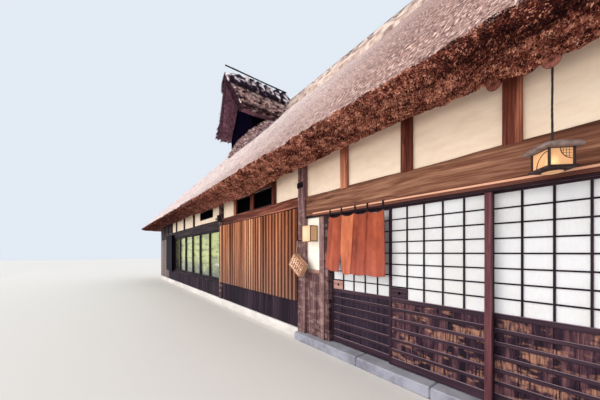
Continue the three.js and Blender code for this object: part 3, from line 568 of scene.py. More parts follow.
# The last column is each lath's tone: the lowest lath darker, the top one lighter, as painted shade below and a
# painted highlight on the strip's top edge.
STRIP_LATHS = ((0.0, 0.34, 0.0, -0.45), (0.34, 0.76, 0.002, -0.08), (0.76, 1.0, 0.0, 0.25))
red_strip = wood_paint("red_strip", (40, 16, 22), (162, 100, 76), (232, 176, 146), along=1.4, across=40.0,
                       rough=(0.5, 0.75), cracks=0.2)
laths = []
for share_low, share_high, back, tone in STRIP_LATHS:
    lath = bar((STRIP_START, STRIP_FACE + back, share_low), (lintel_high.x, POST_FACE, share_high), 0.003,
               0.0, 0.1, tone)
    x, share = lath[0][:, 0], lath[0][:, 2].copy()
    lath[0][:, 2] = np.interp(x, STRIP_X, STRIP_FOOT) * (1 - share) + np.interp(x, STRIP_X, STRIP_TOP) * share
    # Past X 6.0 the laths are toned darker: painted shade at the right end under the eave.
    lath[3][:] -= 0.1 * climb(x, 6.0, 0.5)
    laths.append(lath)
piece("lintel_strip", laths, red_strip, "red_timber")


# Plaster between the timbers: clay on a bamboo lattice, finished with cream lime, set a little
# back from the timber faces. The panels are the frame's own.
wall_plaster = plaster_paint("wall_plaster", (250, 232, 210), (238, 215, 190), 0.3, (196, 176, 154), 0.4)
for panel in ("upper_wall_left", "upper_wall_middle", "upper_wall_right", "right_wall", "left_side_wall",
              "right_side_wall", "back_wall"):
    dress(panel, wall_plaster)
dress("narrow_plaster", plaster_paint("bay_plaster", (246, 240, 228), (232, 224, 210), 0.3, (196, 176, 154), 0.4))


# Upper windows: low openings under the eave, each a smoke-blackened squared frame with thin
# upright bars let into it, the darkness behind painted in as a near-black sheet of shade, and a
# head board above.
dark_wood = wood_paint("dark_wood", (16, 10, 16), (32, 22, 30), (62, 46, 52), rough=(0.5, 0.8),
                       dust=(120, 104, 108), dust_share=0.3, cracks=0.7, shine=0.08)
# soot is near-black painted shade: it fills the window openings and the door pulls' finger holes in place of the
# dark hollows behind them.
soot = plaster_paint("hollow_shade_black", (7, 6, 9), (3, 3, 4), -1.0, (6, 5, 6), 0.0, 0.0)
head_wood = wood_paint("head_board", (60, 32, 28), (104, 62, 54), (150, 106, 92), rough=(0.5, 0.8), cracks=0.3)
WINDOW_BAR = 0.03
for window, lights in (("upper_window", 2), ("small_window", 1)):
    low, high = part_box(window)
    piece(window + "_head", [bar((low.x, PLASTER_FACE - 0.01, high.z), (high.x, PLASTER_FACE, PLATE_BOTTOM - 0.01),
                                 0.003)], head_wood, "timber")
    dress(window, soot)
    face, foot, top = PLASTER_FACE + 0.004, low.z + WINDOW_BAR, high.z - WINDOW_BAR
    parts = [bar((low.x, face, low.z), (high.x, high.y, foot)), bar((low.x, face, top), (high.x, high.y, high.z))]
    for x in np.linspace(low.x, high.x - WINDOW_BAR, lights + 1):
        parts.append(bar((x, face, foot), (x + WINDOW_BAR, high.y, top)))
    piece(window + "_frame", parts, dark_wood, "dark_timber")


# Boarded stretches at the left and under the rooms: sawn cedar boards set upright edge to edge
# on the frame and charred dark, with open joints where they have shrunk.
def boards(x_low, x_high, z_low, z_high, face, thick, width, seed, spread=0.2, gap=0.004):
    """Upright boards side by side along X, each its own width and tone, thick out of the face."""
    rng = np.random.default_rng(seed)
    count = max(int(round((x_high - x_low) / width)), 1)
    widths = 1.0 + rng.uniform(-spread, spread, count)
    ends = x_low + np.concatenate([[0], np.cumsum(widths)]) / widths.sum() * (x_high - x_low)
    made = []
    for left, right in zip(ends[:-1], ends[1:]):
        proud = thick + rng.uniform(-0.0015, 0.0015)
        made.append(bar((left + gap / 2, face - proud, z_low), (right - gap / 2, face, z_high), 0.002, 0.0,
                        1.0, rng.uniform(-0.09, 0.09), rng))
    return made


charred = wood_paint("charred_boards", (16, 10, 18), (36, 25, 37), (68, 50, 62), along=1.1, across=30.0,
                     rough=(0.55, 0.85), cracks=0.5, dust=(96, 80, 88), dust_share=0.4, shine=0.08)
grey_boards = wood_paint("grey_boards", (60, 50, 52), (104, 90, 88), (150, 134, 128), along=1.1, across=30.0)
dress("front_boards", charred)
dress("screen_wall", charred)
BOARD_FACE = -4.33
BOARD_FOOT = 0.17
SHUTTER_LEFT = -7.03
VERANDA_HEAD = 2.07
FLOOR_TOP = 0.6
board_low, board_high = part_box("front_boards")
screen_low, screen_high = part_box("screen_wall")
for name, x_low, x_high, z_low, z_high, face, thick, width, seed, paint in (
        ("left_boards", board_low.x, SHUTTER_LEFT, BOARD_FOOT, VERANDA_HEAD, BOARD_FACE, 0.012, 0.21, 41,
         grey_boards),
        # The high boards at the left end are near-black dark_post_wood: partly real dark boards, partly painted
        # shade under the eave at that end.
        ("left_high_boards", board_low.x, -6.43, 2.35, PLATE_BOTTOM - 0.02, PLASTER_FACE, 0.012, 0.2, 45,
         dark_post_wood),
        ("skirt_boards", SHUTTER_LEFT, board_high.x, BOARD_FOOT, FLOOR_TOP - 0.03, BOARD_FACE, 0.012, 0.17, 42,
         charred),
        ("screen_boards", screen_low.x, screen_high.x, BOARD_FOOT, screen_high.z, BOARD_FACE, 0.01, 0.16, 43,
         charred)):
    piece(name, boards(x_low, x_high, z_low, z_high, face, thick, width, seed), paint, "dark_timber")
piece("floor_edge", [bar((SHUTTER_LEFT, -4.365, FLOOR_TOP - 0.04), (board_high.x, BOARD_FACE, FLOOR_TOP), 0.004)],
      dark_wood, "dark_timber")


# Shutter box: a shallow cupboard on the outside of the wall that the night shutters slide into,
# boarded upright between squared rails and capped with a sloping board.
box_black = wood_paint("box_black", (10, 6, 16), (20, 13, 27), (42, 32, 46), along=1.1, across=30.0,
                       rough=(0.5, 0.8), shine=0.06)
dress("shutter_box", box_black)
box_low, box_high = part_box("shutter_box")
left, right, front = box_low.x, box_high.x, box_low.y
BOX_RAIL = 0.04
shutter = boards(left + BOX_RAIL, right - BOX_RAIL, box_low.z + 0.06, box_high.z - 0.08, front + 0.01, 0.009,
                 0.2, 44)
for x in (left, right - BOX_RAIL):
    shutter.append(bar((x, front - 0.004, box_low.z), (x + BOX_RAIL, front + 0.04, box_high.z)))
for z, rail in ((box_low.z, 0.06), (box_high.z - 0.08, 0.05)):
    shutter.append(bar((left, front - 0.006, z), (right, front + 0.03, z + rail)))
shutter.append(bar((left - 0.02, front - 0.02, box_high.z - 0.03), (right + 0.02, front + 0.12, box_high.z), 0.006))
piece("shutter_boards", shutter, box_black, "dark_timber")


# Veranda panels: six tall sliding sashes of dark wood with clear glass, a low boarded field at
# the foot of each, standing in a track at floor height.
def glass_paint(name, upper_reflection, lower_reflection, z_low, z_high):
    """Old window glass, its reflections painted in: pale above and dim below where it faces the ground, darker
    streaks, and dark towards low X past -4.3, with slight waves.
    """
    made, tree, place = fresh(name)
    cloud = noise(tree, stretched(tree, place, (1.2, 1.2, 2.0)), 1.5, 4.0, 0.6)
    share = remap(tree, calc(tree, "MULTIPLY_ADD", cloud, 1.3, level(tree, place)), z_low, z_high)
    middle = 0.5 * np.add(lower_reflection, upper_reflection)
    colour = ramp(tree, share, [(0.0, lower_reflection), (0.45, middle), (0.8, upper_reflection)])
    reflection_streaks = drawn_noise(tree, place, (1.6, 1.6, 9.0), 3.0, 0.6)
    colour = blend(tree, remap(tree, reflection_streaks, 0.46, 0.62, 0.0, 0.6), colour, (58, 70, 52))
    colour = blend(tree, remap(tree, level(tree, place, 0), -5.3, -4.3, 0.85, 0.0), colour, (34, 24, 44))
    return finish_paint(made, colour, 0.08, [(noise(tree, place, 3.0, 2.0, 0.4), 0.004)], specular=0.5)


# The pane colours are painted reflections laid on glass that is clear.
glass_painted_reflection = glass_paint("glass_painted_reflection", (178, 186, 112), (66, 76, 74), 1.2, 2.1)
dress("veranda_glass", glass_painted_reflection)
panel_low, panel_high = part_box("veranda_panels")
VERANDA_LEAVES = 6
LEAF_STILE = 0.06
leaf_ends = np.linspace(panel_low.x, panel_high.x, VERANDA_LEAVES + 1)
leaf_parts = []
for number, (left, right) in enumerate(zip(leaf_ends[:-1], leaf_ends[1:])):
    face = panel_low.y - (0.012 if number % 2 else 0.0)
    for x in (left, right - LEAF_STILE):
        leaf_parts.append(bar((x + 0.001, face, panel_low.z), (x + LEAF_STILE - 0.001, panel_high.y, panel_high.z),
                              0.004, 0.001, 0.4))
    for z, rail in ((panel_low.z, 0.09), (panel_high.z - 0.06, 0.06)):
        leaf_parts.append(bar((left + LEAF_STILE, face + 0.003, z), (right - LEAF_STILE, panel_high.y, z + rail),
                              0.003))
piece("veranda_leaves", leaf_parts, dark_wood, "dark_timber", replaces=["veranda_panels"])
piece("veranda_track", [bar((panel_low.x, -4.372, FLOOR_TOP - 0.02),
                            (panel_high.x, panel_low.y - 0.001, FLOOR_TOP + 0.02))], dark_wood, "timber")


# Bar screen: thirty-two square cedar bars nailed upright on three rails in front of the boarded
# wall, newer and redder than the frame, greyed towards the foot by rain.
SCREEN_BARS = 32
BAR_WIDTH = 0.054
BAR_INSET = 0.015
grid_low, grid_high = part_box("bar_screen")
rng = np.random.default_rng(77)
upright = []
for x in np.linspace(grid_low.x + BAR_INSET, grid_high.x - BAR_INSET - BAR_WIDTH, SCREEN_BARS):
    shift = rng.uniform(-0.003, 0.003)
    upright.append(bar((x + shift, grid_low.y, grid_low.z + rng.uniform(0, 0.006)),
                       (x + shift + BAR_WIDTH, grid_low.y + 0.055, grid_high.z), 0.003, 0.0012, 0.35,
                       rng.normal(0.02, 0.12), rng))
cedar = wood_paint("cedar_bars", (112, 64, 42), (174, 106, 72), (226, 162, 118), along=0.8, across=36.0,
                   rough=(0.55, 0.8), cracks=0.15, patches=0.7, low=((150, 112, 98), 0.6, 1.9, 0.75))
piece("screen_bars", upright, cedar, "red_timber", replaces=["bar_screen"])
piece("screen_rails", [bar((screen_low.x, -4.37, z), (screen_high.x, BOARD_FACE, z + 0.06), 0.003)
                       for z in (0.66, 1.37, 2.04)], dark_wood, "dark_timber")


# Narrow bay beside the doors: three upright boards of weathered cedar nailed over the sill, and a
# paler rail along their top, with plaster above.
narrow_low, narrow_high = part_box("narrow_boards")
RAIL_LOW, RAIL_HIGH = 1.1, 1.148
narrow = boards(narrow_low.x, narrow_high.x, SILL_TOP, RAIL_LOW, WALL_BACK, WALL_BACK - FRONT + 0.002, 0.11, 51)
piece("narrow_bay_boards", narrow, low_post_wood, "timber", replaces=["narrow_boards"])
rail_wood = wood_paint("narrow_rail_wood", (116, 82, 74), (160, 120, 108), (200, 164, 150), rough=(0.5, 0.8))
piece("narrow_bay_rail", [bar((narrow_low.x, FRONT - 0.012, RAIL_LOW), (narrow_high.x, WALL_BACK, RAIL_HIGH))],
      rail_wood, "timber")


# Sliding doors: cedar frames with paper pasted behind a grid of thin bars in the upper field
# and upright boards behind flat battens in the lower one. Each runs on two small wheels.
def paper_paint(name):
    """Thin white paper pasted on the bars: even, faintly fibrous."""
    made, tree, place = fresh(name)
    fibre = drawn_noise(tree, place, (60.0, 60.0, 18.0), 5.0, 0.6)
    cloud = noise(tree, place, 1.6, 3.0, 0.5)
    colour = ramp(tree, weigh(tree, fibre, 0.3, cloud, 0.7), [(0.35, (206, 205, 204)), (0.6, (216, 216, 219))], True)
    return finish_paint(made, colour, 0.85, [(fibre, 0.0004)], specular=0.2)


def wheel(centre, radius, thick):
    """A small wheel: two rounded rings of twenty points, closed by its flat sides."""
    turn = around(20)
    across = np.array([-thick / 2, -thick / 2, thick / 2, thick / 2])
    reach = np.array([radius - 0.002, radius, radius, radius - 0.002])[:, None]
    points = stack(reach * np.sin(turn), across[:, None], reach * np.cos(turn)).reshape(-1, 3)
    return points + np.array(centre), [faces[:, ::-1] for faces in skin(4, 20)], points, np.zeros(80)


# door_wood's pale upward faces are dust and a painted highlight on the tops of the battens and rails.
door_wood = wood_paint("door_wood", (24, 14, 21), (48, 31, 42), (82, 58, 68), along=1.2, across=40.0,
                       rough=(0.45, 0.7), cracks=0.25, dust=(172, 146, 156), dust_share=0.75)
bar_wood = wood_paint("grid_wood", (18, 10, 18), (33, 20, 30), (54, 38, 48), rough=(0.45, 0.7), cracks=0.0,
                      shine=0.08)
door_boards = wood_paint("door_boards", (22, 12, 24), (52, 31, 44), (104, 70, 72), along=7.0, across=60.0,
                         rough=(0.55, 0.85), cracks=0.5, patches=1.6, streak=(160, 114, 94), streak_share=0.9)
dim_boards = wood_paint("dim_door_boards", (20, 12, 20), (36, 24, 38), (58, 43, 58), along=3.0, across=60.0,
                        rough=(0.55, 0.85), cracks=0.5, patches=0.8)
pull_wood = wood_paint("pull_wood", (120, 80, 74), (160, 118, 110), (190, 150, 140), cracks=0.0)
door_paper = paper_paint("door_paper")
PAPER_LOW, PAPER_HIGH = 0.9, 1.925
STILE = 0.034
MID_RAIL = (0.853, PAPER_LOW)
BOTTOM_RAIL = (0.126, 0.211)
GRID_COLUMNS, GRID_ROWS = 5, 8
GRID_WIDE, GRID_HIGH = 0.0075, 0.0063
BATTEN_FRONT, BATTEN_BACK = 0.017, 0.012
NEAR_BATTENS = (0.77, 0.654, 0.543, 0.42, 0.3)
FAR_BATTENS = (0.752, 0.639, 0.52, 0.412, 0.303)
BATTENS = {"door_1": NEAR_BATTENS, "door_2": NEAR_BATTENS, "door_3": FAR_BATTENS, "door_4": FAR_BATTENS}
PULLS = {"door_1": (4.277, 4.458, 4.373, pull_wood), "door_2": (5.235, 5.44, 5.35, door_wood)}
for door, battens in BATTENS.items():
    body = door if door in frame["bodies"] else "house"
    low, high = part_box(door)
    front, back = low.y, high.y
    inner_low, inner_high = low.x + STILE, high.x - STILE
    parts = [bar((x, front, BOTTOM_RAIL[0]), (x + STILE, back, high.z), 0.003, 0.0005, 0.5)
             for x in (low.x, high.x - STILE)]
    for foot, top in (BOTTOM_RAIL, MID_RAIL, (PAPER_HIGH, high.z)):
        parts.append(bar((inner_low, front + 0.001, foot), (inner_high, back - 0.001, top), 0.003))
    for z in battens:
        for y_low, y_high, half, edge in ((front + 0.001, front + 0.013, BATTEN_FRONT, 0.003),
                                          (back - 0.007, back - 0.001, BATTEN_BACK, 0.002)):
            parts.append(bar((inner_low, y_low, z - half), (inner_high, y_high, z + half), edge))
    for x in (low.x + 0.12, high.x - 0.12):
        parts.append(wheel((x, (front + back) / 2, 0.1453), 0.025, 0.012))
    piece(door + "_frame", parts, door_wood, "door_timber", body, replaces=[door])
    planks = boards(inner_low, inner_high, BOTTOM_RAIL[1], MID_RAIL[0], back - 0.007, back - 0.007 - front - 0.012,
                    0.155, 60 + int(door[-1]), 0.25, 0.002)
    piece(door + "_boards", planks, dim_boards if door == "door_1" else door_boards, "door_timber", body)
    grid = [bar((x - GRID_WIDE, front + 0.003, PAPER_LOW), (x + GRID_WIDE, front + 0.0155, PAPER_HIGH), 0.0015)
            for x in np.linspace(inner_low, inner_high, GRID_COLUMNS + 1)[1:-1]]
    for z in np.linspace(PAPER_LOW, PAPER_HIGH, GRID_ROWS + 1)[1:-1]:
        grid.append(bar((inner_low, front + 0.005, z - GRID_HIGH), (inner_high, front + 0.0155, z + GRID_HIGH),
                        0.0015))
    piece(door + "_grid", grid, bar_wood, "door_timber", body)
    if door in PULLS:
        x_low, x_high, hole_x, pull_paint = PULLS[door]
        piece(door + "_pull", [bar((x_low, front + 0.001, PAPER_LOW), (x_high, front + 0.0157, 1.02), 0.002)],
              pull_paint, "door_timber", body)
        # The finger hole is a near-black disc in the soot material: painted shade of the hollow.
        piece(door + "_hole", [wheel((hole_x, front + 0.002, 0.961), 0.017, 0.004)], soot, "door_timber", body)
    dress(door + "_paper", door_paper)


# Side and back walls: the same squared posts and girts as the front over plain plaster, with
# closed two-light windows at the back.
GIRT_LOW, GIRT_HIGH = 2.07, 2.31
POST_FOOT = 0.16
POST_HALF = 0.07
CORNER_OUT, CORNER_IN, SIDE_PROUD = 9.09, 8.95, 9.05
BACK_OUT, BACK_IN = 4.345, 4.315
POST_SPANS = ((POST_FOOT, GIRT_LOW), (GIRT_HIGH, PLATE_BOTTOM))
for side, sign in (("left_side", -1), ("right_side", 1)):
    span = sorted((sign * CORNER_OUT, sign * SIDE_PROUD))
    corner = sorted((sign * CORNER_OUT, sign * CORNER_IN))
    parts = [bar((corner[0], POST_FACE, POST_FOOT), (corner[1], WALL_BACK, PLATE_BOTTOM), 0.008, 0.002),
             bar((span[0], WALL_BACK, GIRT_LOW), (span[1], -WALL_BACK, GIRT_HIGH), 0.008, 0.003)]
    for y in (-2.592, -0.864, 0.864, 2.592):
        for foot, top in POST_SPANS:
            parts.append(bar((span[0], y - POST_HALF, foot), (span[1], y + POST_HALF, top), 0.006, 0.002))
    piece(side + "_timbers", parts, post_wood, "timber", replaces=[side + "_frame"])
parts = [bar((-CORNER_IN, BACK_IN, GIRT_LOW), (CORNER_IN, BACK_OUT, GIRT_HIGH), 0.008, 0.003)]
for step in range(-8, 9, 2):
    for foot, top in POST_SPANS:
        parts.append(bar((step * HALF_KEN - POST_HALF, BACK_IN, foot), (step * HALF_KEN + POST_HALF, BACK_OUT, top),
                         0.006, 0.002))
for x_low, x_high in ((-CORNER_OUT, -CORNER_IN), (CORNER_IN, CORNER_OUT)):
    parts.append(bar((x_low, -WALL_BACK, POST_FOOT), (x_high, BACK_OUT, PLATE_BOTTOM), 0.008, 0.002))
SASH = 0.045
SASH_FOOT, SASH_TOP = 0.9, 2.0
SASH_FACE = BACK_OUT - 0.006
panes = []
for first_step, last_step in ((-6, -4), (-2, 0), (2, 4)):
    x_low, x_high = first_step * HALF_KEN + POST_HALF, last_step * HALF_KEN - POST_HALF
    for z in (SASH_FOOT, SASH_TOP - SASH):
        parts.append(bar((x_low, BACK_IN, z), (x_high, SASH_FACE, z + SASH), 0.003))
    for x in (x_low, (x_low + x_high) / 2 - SASH / 2, x_high - SASH):
        parts.append(bar((x, BACK_IN, SASH_FOOT + SASH), (x + SASH, SASH_FACE, SASH_TOP - SASH), 0.003))
    panes.append(bar((x_low, BACK_OUT - 0.022, SASH_FOOT), (x_high, BACK_OUT - 0.016, SASH_TOP), 0.001))
piece("back_timbers", parts, post_wood, "timber", replaces=["back_frame"])
piece("back_panes", panes, glass_painted_reflection, "glass")
dress("wall_plate", wood_paint("plate_wood", (60, 42, 36), (96, 70, 58), (130, 98, 82), False))


# Thatch slopes: bundles of reed laid in courses from the eave up, tied to the rafters, beaten
# even and clipped. Four slopes meet at the hips. Grey-beige above, red-brown where they are cut.
HALF_LENGTH, HALF_DEPTH = 9.09, 4.32
EAVE_OUT = 0.95
EAVE_TIP_Z = 2.672
EAVE_UNDER_Z = 2.64
THATCH_PITCH = 1.06
CORNER_RADIUS = 0.9
RIDGE_OUT = -4.26
PLATE_TOP = 3.0
LIP_Z = np.array([2.64, 2.65, 2.664, 2.68, 2.698])
LIP_OUT = np.array([0.885, 0.91, 0.925, 0.93, 0.925])
LIP_PUSH = np.array([[0.0, -1.0], [0.7, -0.7], [0.95, -0.3], [1.0, 0.1], [0.85, 0.5]])


def reed_paint(name, slope_colours, cut_colours, speck, fleck, cut_lines=False, spot_scale=17.0):
    """Reed thatch. Where tone is 0 the stems lie side by side and run down the slope: fine
    streaks, cloudy weathering, specks of shade and straw, and a painted sheen that pales the
    slope towards low X. Where tone is 1 they are cut; without cut_lines the cut is painted
    darker towards low X as shade."""
    made, tree, place = fresh(name)
    grain, tone = carried(tree)
    along = level(tree, place, 0)
    stems = drawn_noise(tree, grain, (80.0, 80.0, 14.0), 5.0, 0.65)
    coarse = drawn_noise(tree, grain, (30.0, 30.0, 7.0), 4.0, 0.65)
    cloud = noise(tree, place, 0.9, 4.0, 0.6)
    value = weigh(tree, stems, 0.28, coarse, 0.22)
    value = calc(tree, "MULTIPLY_ADD", noise(tree, place, 13.0, 3.0, 0.7), 0.2, value)
    value = calc(tree, "MULTIPLY_ADD", cloud, 0.3, value)
    slope = ramp(tree, value, list(zip((0.4, 0.5, 0.6), slope_colours)))
    # Painted sheen: the slope is blended towards pale (255, 240, 236) from X 5.6 down to -1, and bigger dark specks
    # come in with it.
    far_sheen = remap(tree, along, 5.6, -1.0, 0.0, 0.58)
    kept = remap(tree, along, 5.6, -1.0, 0.9, 0.42)
    slope = blend(tree, far_sheen, slope, (255, 240, 236))
    for spot, seed, size, amount in (
            (speck, 31.0, 0.33, far_sheen), (fleck, 0.0, 1.0, kept), (speck, 17.0, 1.0, kept)):
        moved = add(tree, "Mapping", {"Vector": grain, "Location": (seed, seed, seed),
                                      "Scale": tuple(size * spot_scale * s for s in (2.3, 1.0, 0.8))})
        share = remap(tree, noise(tree, moved, 1.0, 2.0, 0.55), 0.53, 0.6)
        slope = blend(tree, calc(tree, "MULTIPLY", share, amount), slope, spot)
    ragged = noise(tree, place, 45.0, 5.0, 0.7)
    if cut_lines:
        value = weigh(tree, stems, 0.6, coarse, 0.4)
    else:
        clumps = noise(tree, place, 34.0, 2.0, 0.6)
        shade = noise(tree, place, 3.0, 4.0, 0.6)
        value = calc(tree, "MULTIPLY_ADD", clumps, 0.8, calc(tree, "MULTIPLY_ADD", ragged, 0.4, -0.12))
        value = calc(tree, "MULTIPLY_ADD", calc(tree, "SUBTRACT", shade, 0.5), 0.35, value)
        shadow = remap(tree, along, 5.9, 6.35, 0.0, 0.85)
        edge = remap(tree, level(tree, place, 1), -5.0, -5.14)
        value = calc(tree, "MULTIPLY_ADD", calc(tree, "MULTIPLY", shadow, edge), -0.22, value)
    cut = ramp(tree, value, list(zip((0.36, 0.46, 0.59), cut_colours)))
    if not cut_lines:
        # Painted shade: towards low X, from 3.4 down to -3, the cut is blended towards (48, 16, 32).
        cut = blend(tree, remap(tree, along, 3.4, -3.0, 0.0, 0.75), cut, (48, 16, 32))
    relief = blend(tree, tone, calc(tree, "MULTIPLY_ADD", coarse, 0.5, stems), ragged)
    return finish_paint(made, blend(tree, tone, slope, cut), 0.95, [(relief, 0.012)], specular=0.05)


def slope_rings(outs, radii, turn, half_along, half_out, spacing):
    """Lines round one side of the roof: half a corner arc, the straight eave, half an arc, at
    each distance out from the walls, in the side's own direction and then turned into place."""
    arc = np.linspace(0, np.pi / 4, 9)
    left, right = np.pi * 1.25 + arc[:-1], np.pi * 1.5 + arc[1:]
    count = int(2 * half_along / spacing)
    straight = np.linspace(-1, 1, count)
    angle = np.concatenate([left, np.full(count, np.pi * 1.5), right])
    path = []
    for out, radius in zip(outs, radii):
        a, b = half_along + out - radius, half_out + out - radius
        x = np.concatenate([radius * np.cos(left) - a, straight * a, radius * np.cos(right) + a])
        y = np.concatenate([radius * np.sin(left) - b, np.full(count, -b - radius), radius * np.sin(right) - b])
        path.append(np.stack([x, y], -1))
    path = np.array(path)
    facing = np.broadcast_to(stack(np.cos(angle), np.sin(angle)), path.shape)
    rotate = np.array([[np.cos(turn), np.sin(turn)], [-np.sin(turn), np.cos(turn)]])
    return path @ rotate, facing @ rotate, path


def run_along(line):
    """The distance from the start at each point of a line."""
    return np.concatenate([[0], np.cumsum(np.linalg.norm(np.diff(line, axis=0), axis=1))])


def tube(points, grain, tone, caps=True):
    """A closed skin from lines carried along a path: points[place on the path, place round the
    line]. Faces look along path direction crossed with line direction."""
    rows, sides = points.shape[:2]
    quads, ends = skin(rows, sides)
    polygons = [quads[:, [0, 3, 2, 1]]] + ([ends[:, ::-1]] if caps else [])
    tone = np.broadcast_to(tone, (rows, sides))
    return points.reshape(-1, 3), polygons, grain.reshape(-1, 3), tone.reshape(-1).astype(float)


def cut_bristle(points):
    """How far the clipped ends stand out of the cut at points, by three random waves."""
    return 0.012 * (lumps(points, 22.0, 8) + lumps(points, 7.0, 9) + lumps(points, 2.2, 10))


def fringe_lift(along, front):
    """How far the inner edge of the cut rises at places along the house: random waves, and on
    the front side one long sag by the entrance and hollows over the rafter ends."""
    line = on_line(along)
    lift = 0.022 * lumps(line, 1.6, 14) + 0.014 * lumps(line, 5.0, 15) + 0.008 * lumps(line, 15.0, 16)
    if front:
        lift = lift + 0.03 * climb(along, 4.0, 0.8) - 0.09 * np.exp(-((along - 1.2) / 1.9) ** 4)
        lift = lift - 0.05 * climb(along, 0.5, -1.5) * climb(along, -9.2, 1.5)
        for log_x, reach, hollow in ((6.638, 0.2, -0.03), (6.638, 0.07, 0.045), (6.33, 0.07, 0.012)):
            lift = lift + hollow * np.exp(-((along - log_x) / reach) ** 4)
    return lift


INSIDE_ROWS = 3
CUT_ROWS = slice(3, 23)
LIP_ROWS = slice(23, 27)
LIP_MIDDLE = 26


def thatch_side(turn, half_along, half_out, spacing, courses):
    """One slope as a closed shell. Round the section: up the inside, out along the cut, over
    the lip and up the outside. Stems make it uneven by slow and quick random waves."""
    inner = np.array([[RIDGE_OUT, 0.0], [-2.2, 0.0], [-0.2, 0.0]])
    inner[:, 1] = PLATE_TOP + 0.0005 + THATCH_PITCH * (0.01 - inner[:, 0])
    under = stack(np.linspace(0.35, 0.885, 20), EAVE_UNDER_Z)
    lip = np.stack([LIP_OUT, LIP_Z], -1)[1:]
    outer_out = np.linspace(0.905, RIDGE_OUT, courses)
    swell = 0.024 * np.sin(climb(outer_out, 0.95, -5.2) * np.pi)
    outer = np.stack([outer_out, EAVE_TIP_Z + THATCH_PITCH * (EAVE_OUT - outer_out) + swell], -1)
    section = np.concatenate([inner, under, lip, outer])
    outs, heights = section.T
    radii = np.minimum(CORNER_RADIUS, (HALF_DEPTH + outs) * 0.9)
    radii[:INSIDE_ROWS] = 0.01
    radii[CUT_ROWS] = np.maximum(CORNER_RADIUS - (EAVE_OUT - outs[CUT_ROWS]), 0.3)
    flat, facing, local = slope_rings(outs, radii, turn, half_along, half_out, spacing)
    points = stack(flat[..., 0], flat[..., 1], heights[:, None])
    steep = 1 / math.hypot(1, THATCH_PITCH)
    outward, up = np.full((2, len(outs)), [[THATCH_PITCH * steep], [steep]])
    outward[:INSIDE_ROWS], up[:INSIDE_ROWS] = 0.0, 0.0
    outward[CUT_ROWS], up[CUT_ROWS] = 0.0, -1.0
    outward[LIP_ROWS], up[LIP_ROWS] = LIP_PUSH[1:].T
    push = stack(facing[..., 0] * outward[:, None], facing[..., 1] * outward[:, None], up[:, None])
    uneven = 0.012 * lumps(points, 0.9, 5) + 0.007 * lumps(points, 3.1, 6) + 0.004 * lumps(points, 11.0, 7)
    near_lip = np.exp(-((np.arange(len(outs)) - LIP_MIDDLE) / 3.0) ** 2)[:, None]
    uneven = uneven + near_lip * (0.02 * lumps(points, 5.0, 12) + 0.012 * lumps(points, 14.0, 13))
    is_cut = np.zeros((len(outs), 1))
    is_cut[INSIDE_ROWS:LIP_MIDDLE] = 1.0
    points = points + push * np.where(is_cut > 0.5, cut_bristle(points), uneven)[..., None]
    fringe = climb(outs, 0.56, -0.2)
    fringe[:INSIDE_ROWS] = 0.0
    points[..., 2] += fringe[:, None] * fringe_lift(points[..., 0], turn == 0)
    grain = stack(local[..., 0], 0.0, run_along(section)[:, None])
    tone = np.broadcast_to(is_cut, local.shape[:2])
    return tube(np.swapaxes(points, 0, 1), np.swapaxes(grain, 0, 1) + turn * 7, tone.T)


CUT_COLOURS = ((70, 33, 29), (150, 84, 70), (214, 154, 132))
thatch_reed = reed_paint("thatch_reed", ((98, 72, 70), (148, 114, 106), (190, 156, 144)), CUT_COLOURS,
                         (84, 58, 64), (226, 198, 186))
LONG_SIDE, SHORT_SIDE = (HALF_LENGTH, HALF_DEPTH), (HALF_DEPTH, HALF_LENGTH)
for side, turn, half, spacing, courses in (
        ("front", 0.0, LONG_SIDE, 0.042, 74), ("right", math.pi / 2, SHORT_SIDE, 0.08, 50),
        ("back", -math.pi, LONG_SIDE, 0.08, 50), ("left", -math.pi / 2, SHORT_SIDE, 0.08, 50)):
    piece(side + "_slope", [thatch_side(turn, *half, spacing, courses)], thatch_reed, "thatch",
          smooth=True, replaces=["thatch_" + side])


# Reed ends: at the eave the stems stand out of the cut as a dense brush of broken tips, each a
# hollow stalk a few millimetres thick, pointing out and down.
def unit(vectors):
    """The vectors brought to length one."""
    return vectors / np.linalg.norm(vectors, axis=-1, keepdims=True)


def reed_tips(places, lean, length, radius, tone, rng):
    """Three-sided spikes: a base triangle about each place and a point at its lean and length."""
    count = len(places)
    lean = unit(lean)
    side = unit(np.cross(lean, [0.0, 0.0, 1.0]) + np.array([1e-4, 0, 0]))
    other = np.cross(lean, side)
    spin = rng.uniform(0, 2 * np.pi, count)
    corners = []
    for third in range(3):
        angle = (spin + third * 2 * np.pi / 3)[:, None]
        corners.append(places + radius[:, None] * (np.cos(angle) * side + np.sin(angle) * other))
    points = np.stack(corners + [places + lean * length[:, None]], 1)
    start = np.arange(count)[:, None] * 4
    faces = np.concatenate([start + np.array(three) for three in ((0, 1, 3), (1, 2, 3), (2, 0, 3), (0, 2, 1))])
    grain = np.repeat(rng.uniform(0, 50, (count, 1, 3)), 4, 1)
    return points.reshape(-1, 3), [faces], grain.reshape(-1, 3), np.repeat(tone, 4)


def tip_paint(name, dark, middle, light):
    """Single stems: each has its own tone from straw to soot brown."""
    made, tree = fresh(name)[:2]
    colour = ramp(tree, carried(tree)[1], [(0.0, dark), (0.5, middle), (1.0, light)])
    return finish_paint(made, colour, 0.9, specular=0.15)


TURN_OVER = 0.86


